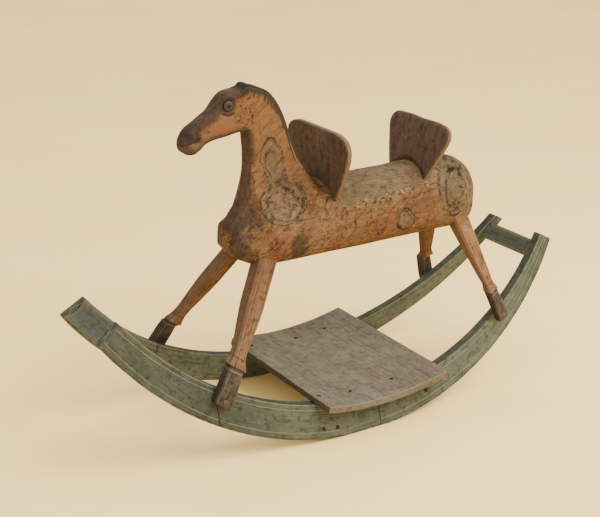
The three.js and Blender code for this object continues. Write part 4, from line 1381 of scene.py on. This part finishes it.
def iron_coat():
    coat = Coat("iron_coat", 0.3)
    coat.feed(coat.shader, Metallic=0.6)
    rust = coat.lumps(coat.place, 1.8, 4.0, 0.65)
    coat.colour = pigment(52, 46, 42)
    coat.lay((104, 66, 44), coat.step(rust, 0.4, 0.62))
    return coat.finish(coat.step(rust, 0.35, 0.65, 0.85, 0.5), rust, 0.6)


# ---------------------------------------------------------------- floor, light and camera

def make_floor():
    """A flat pale sheet under the horse, far wider than the picture."""
    coat = Coat("floor_coat", 0.05)
    cloud = coat.lumps(coat.place, 420, 3.0)
    coat.colour = coat.mix(coat.step(cloud, 0.3, 0.7), srgb(255, 224, 150), srgb(254, 219, 144))
    material = coat.finish(0.9, coat.lumps(coat.place, 3, 2.0), 0.05)
    mesh = bpy.data.meshes.new("floor")
    work = bmesh.new()
    bmesh.ops.create_grid(work, x_segments=8, y_segments=8, size=30.0)
    work.to_mesh(mesh)
    work.free()
    mesh.materials.append(material)
    floor = bpy.data.objects.new("floor", mesh)
    floor.location.z = -0.0006
    bpy.context.scene.collection.objects.link(floor)


def add_light(name, place, target, size, power, colour):
    light = bpy.data.lights.new(name, "AREA")
    light.shape = "DISK"
    light.size = size
    light.energy = power
    light.color = colour
    lamp = bpy.data.objects.new(name, light)
    lamp.location = place
    lamp.rotation_euler = (Vector(target) - Vector(place)).to_track_quat("-Z", "Y").to_euler()
    bpy.context.scene.collection.objects.link(lamp)


def make_lights():
    world = bpy.data.worlds.new("soft_room")
    world.use_nodes = True
    sky = world.node_tree.nodes["Background"]
    sky.inputs["Color"].default_value = (1.0, 0.94, 0.81, 1.0)
    sky.inputs["Strength"].default_value = 1.7
    bpy.context.scene.world = world
    add_light("key", (-1.6, 2.6, 3.4), (0, 0, 0.3), 3.2, 300, (1.0, 0.94, 0.84))
    add_light("fill", (3.0, 1.6, 2.2), (0, 0, 0.3), 3.0, 22, (1.0, 0.97, 0.93))


def make_camera():
    camera = bpy.data.cameras.new("camera")
    camera.lens = 81.7
    camera.sensor_width = 36.0
    camera.clip_end = 60.0
    viewer = bpy.data.objects.new("camera", camera)
    viewer.location = (1.6818, 2.5762, 1.5029)
    yaw, pitch = math.radians(32.14), math.radians(20.28)
    across = math.cos(pitch)
    look = Vector((-math.sin(yaw) * across, -math.cos(yaw) * across, -math.sin(pitch)))
    viewer.rotation_euler = look.to_track_quat("-Z", "Y").to_euler()
    bpy.context.scene.collection.objects.link(viewer)
    bpy.context.scene.camera = viewer


# ---------------------------------------------------------------- the horse

def main():
    make_camera()
    make_lights()
    make_floor()
    make_body(horse_coat("body_coat", False))
    make_head(horse_coat("head_coat", True))
    boards = board_coat()
    make_board("pommel_board", POMMEL_LINE, POMMEL_X, 0.0, boards, "saddle_board_front")
    make_board("cantle_board", CANTLE_LINE, CANTLE_X, CANTLE_LEAN, boards, "saddle_board_rear")
    crossboards = crossboard_coat()
    make_front_crossboard(crossboards)
    make_rear_crossbar(crossboards)
    make_footboard(footboard_coat())
    rockers, legs, eyes, pegs = rocker_coat(), leg_coat(), eye_coat(), peg_coat()
    make_bit(pegs)
    for side_name, side in (("left", 1), ("right", -1)):
        make_eye(side_name, side, eyes)
        for length_name in LENGTHS:
            make_rocker(side_name, side, length_name, rockers)
        for end_name in LEGS:
            make_leg(end_name, side_name, side, legs)
            make_leg_peg(end_name, side_name, side, pegs)
    make_nails(iron_coat())


main()
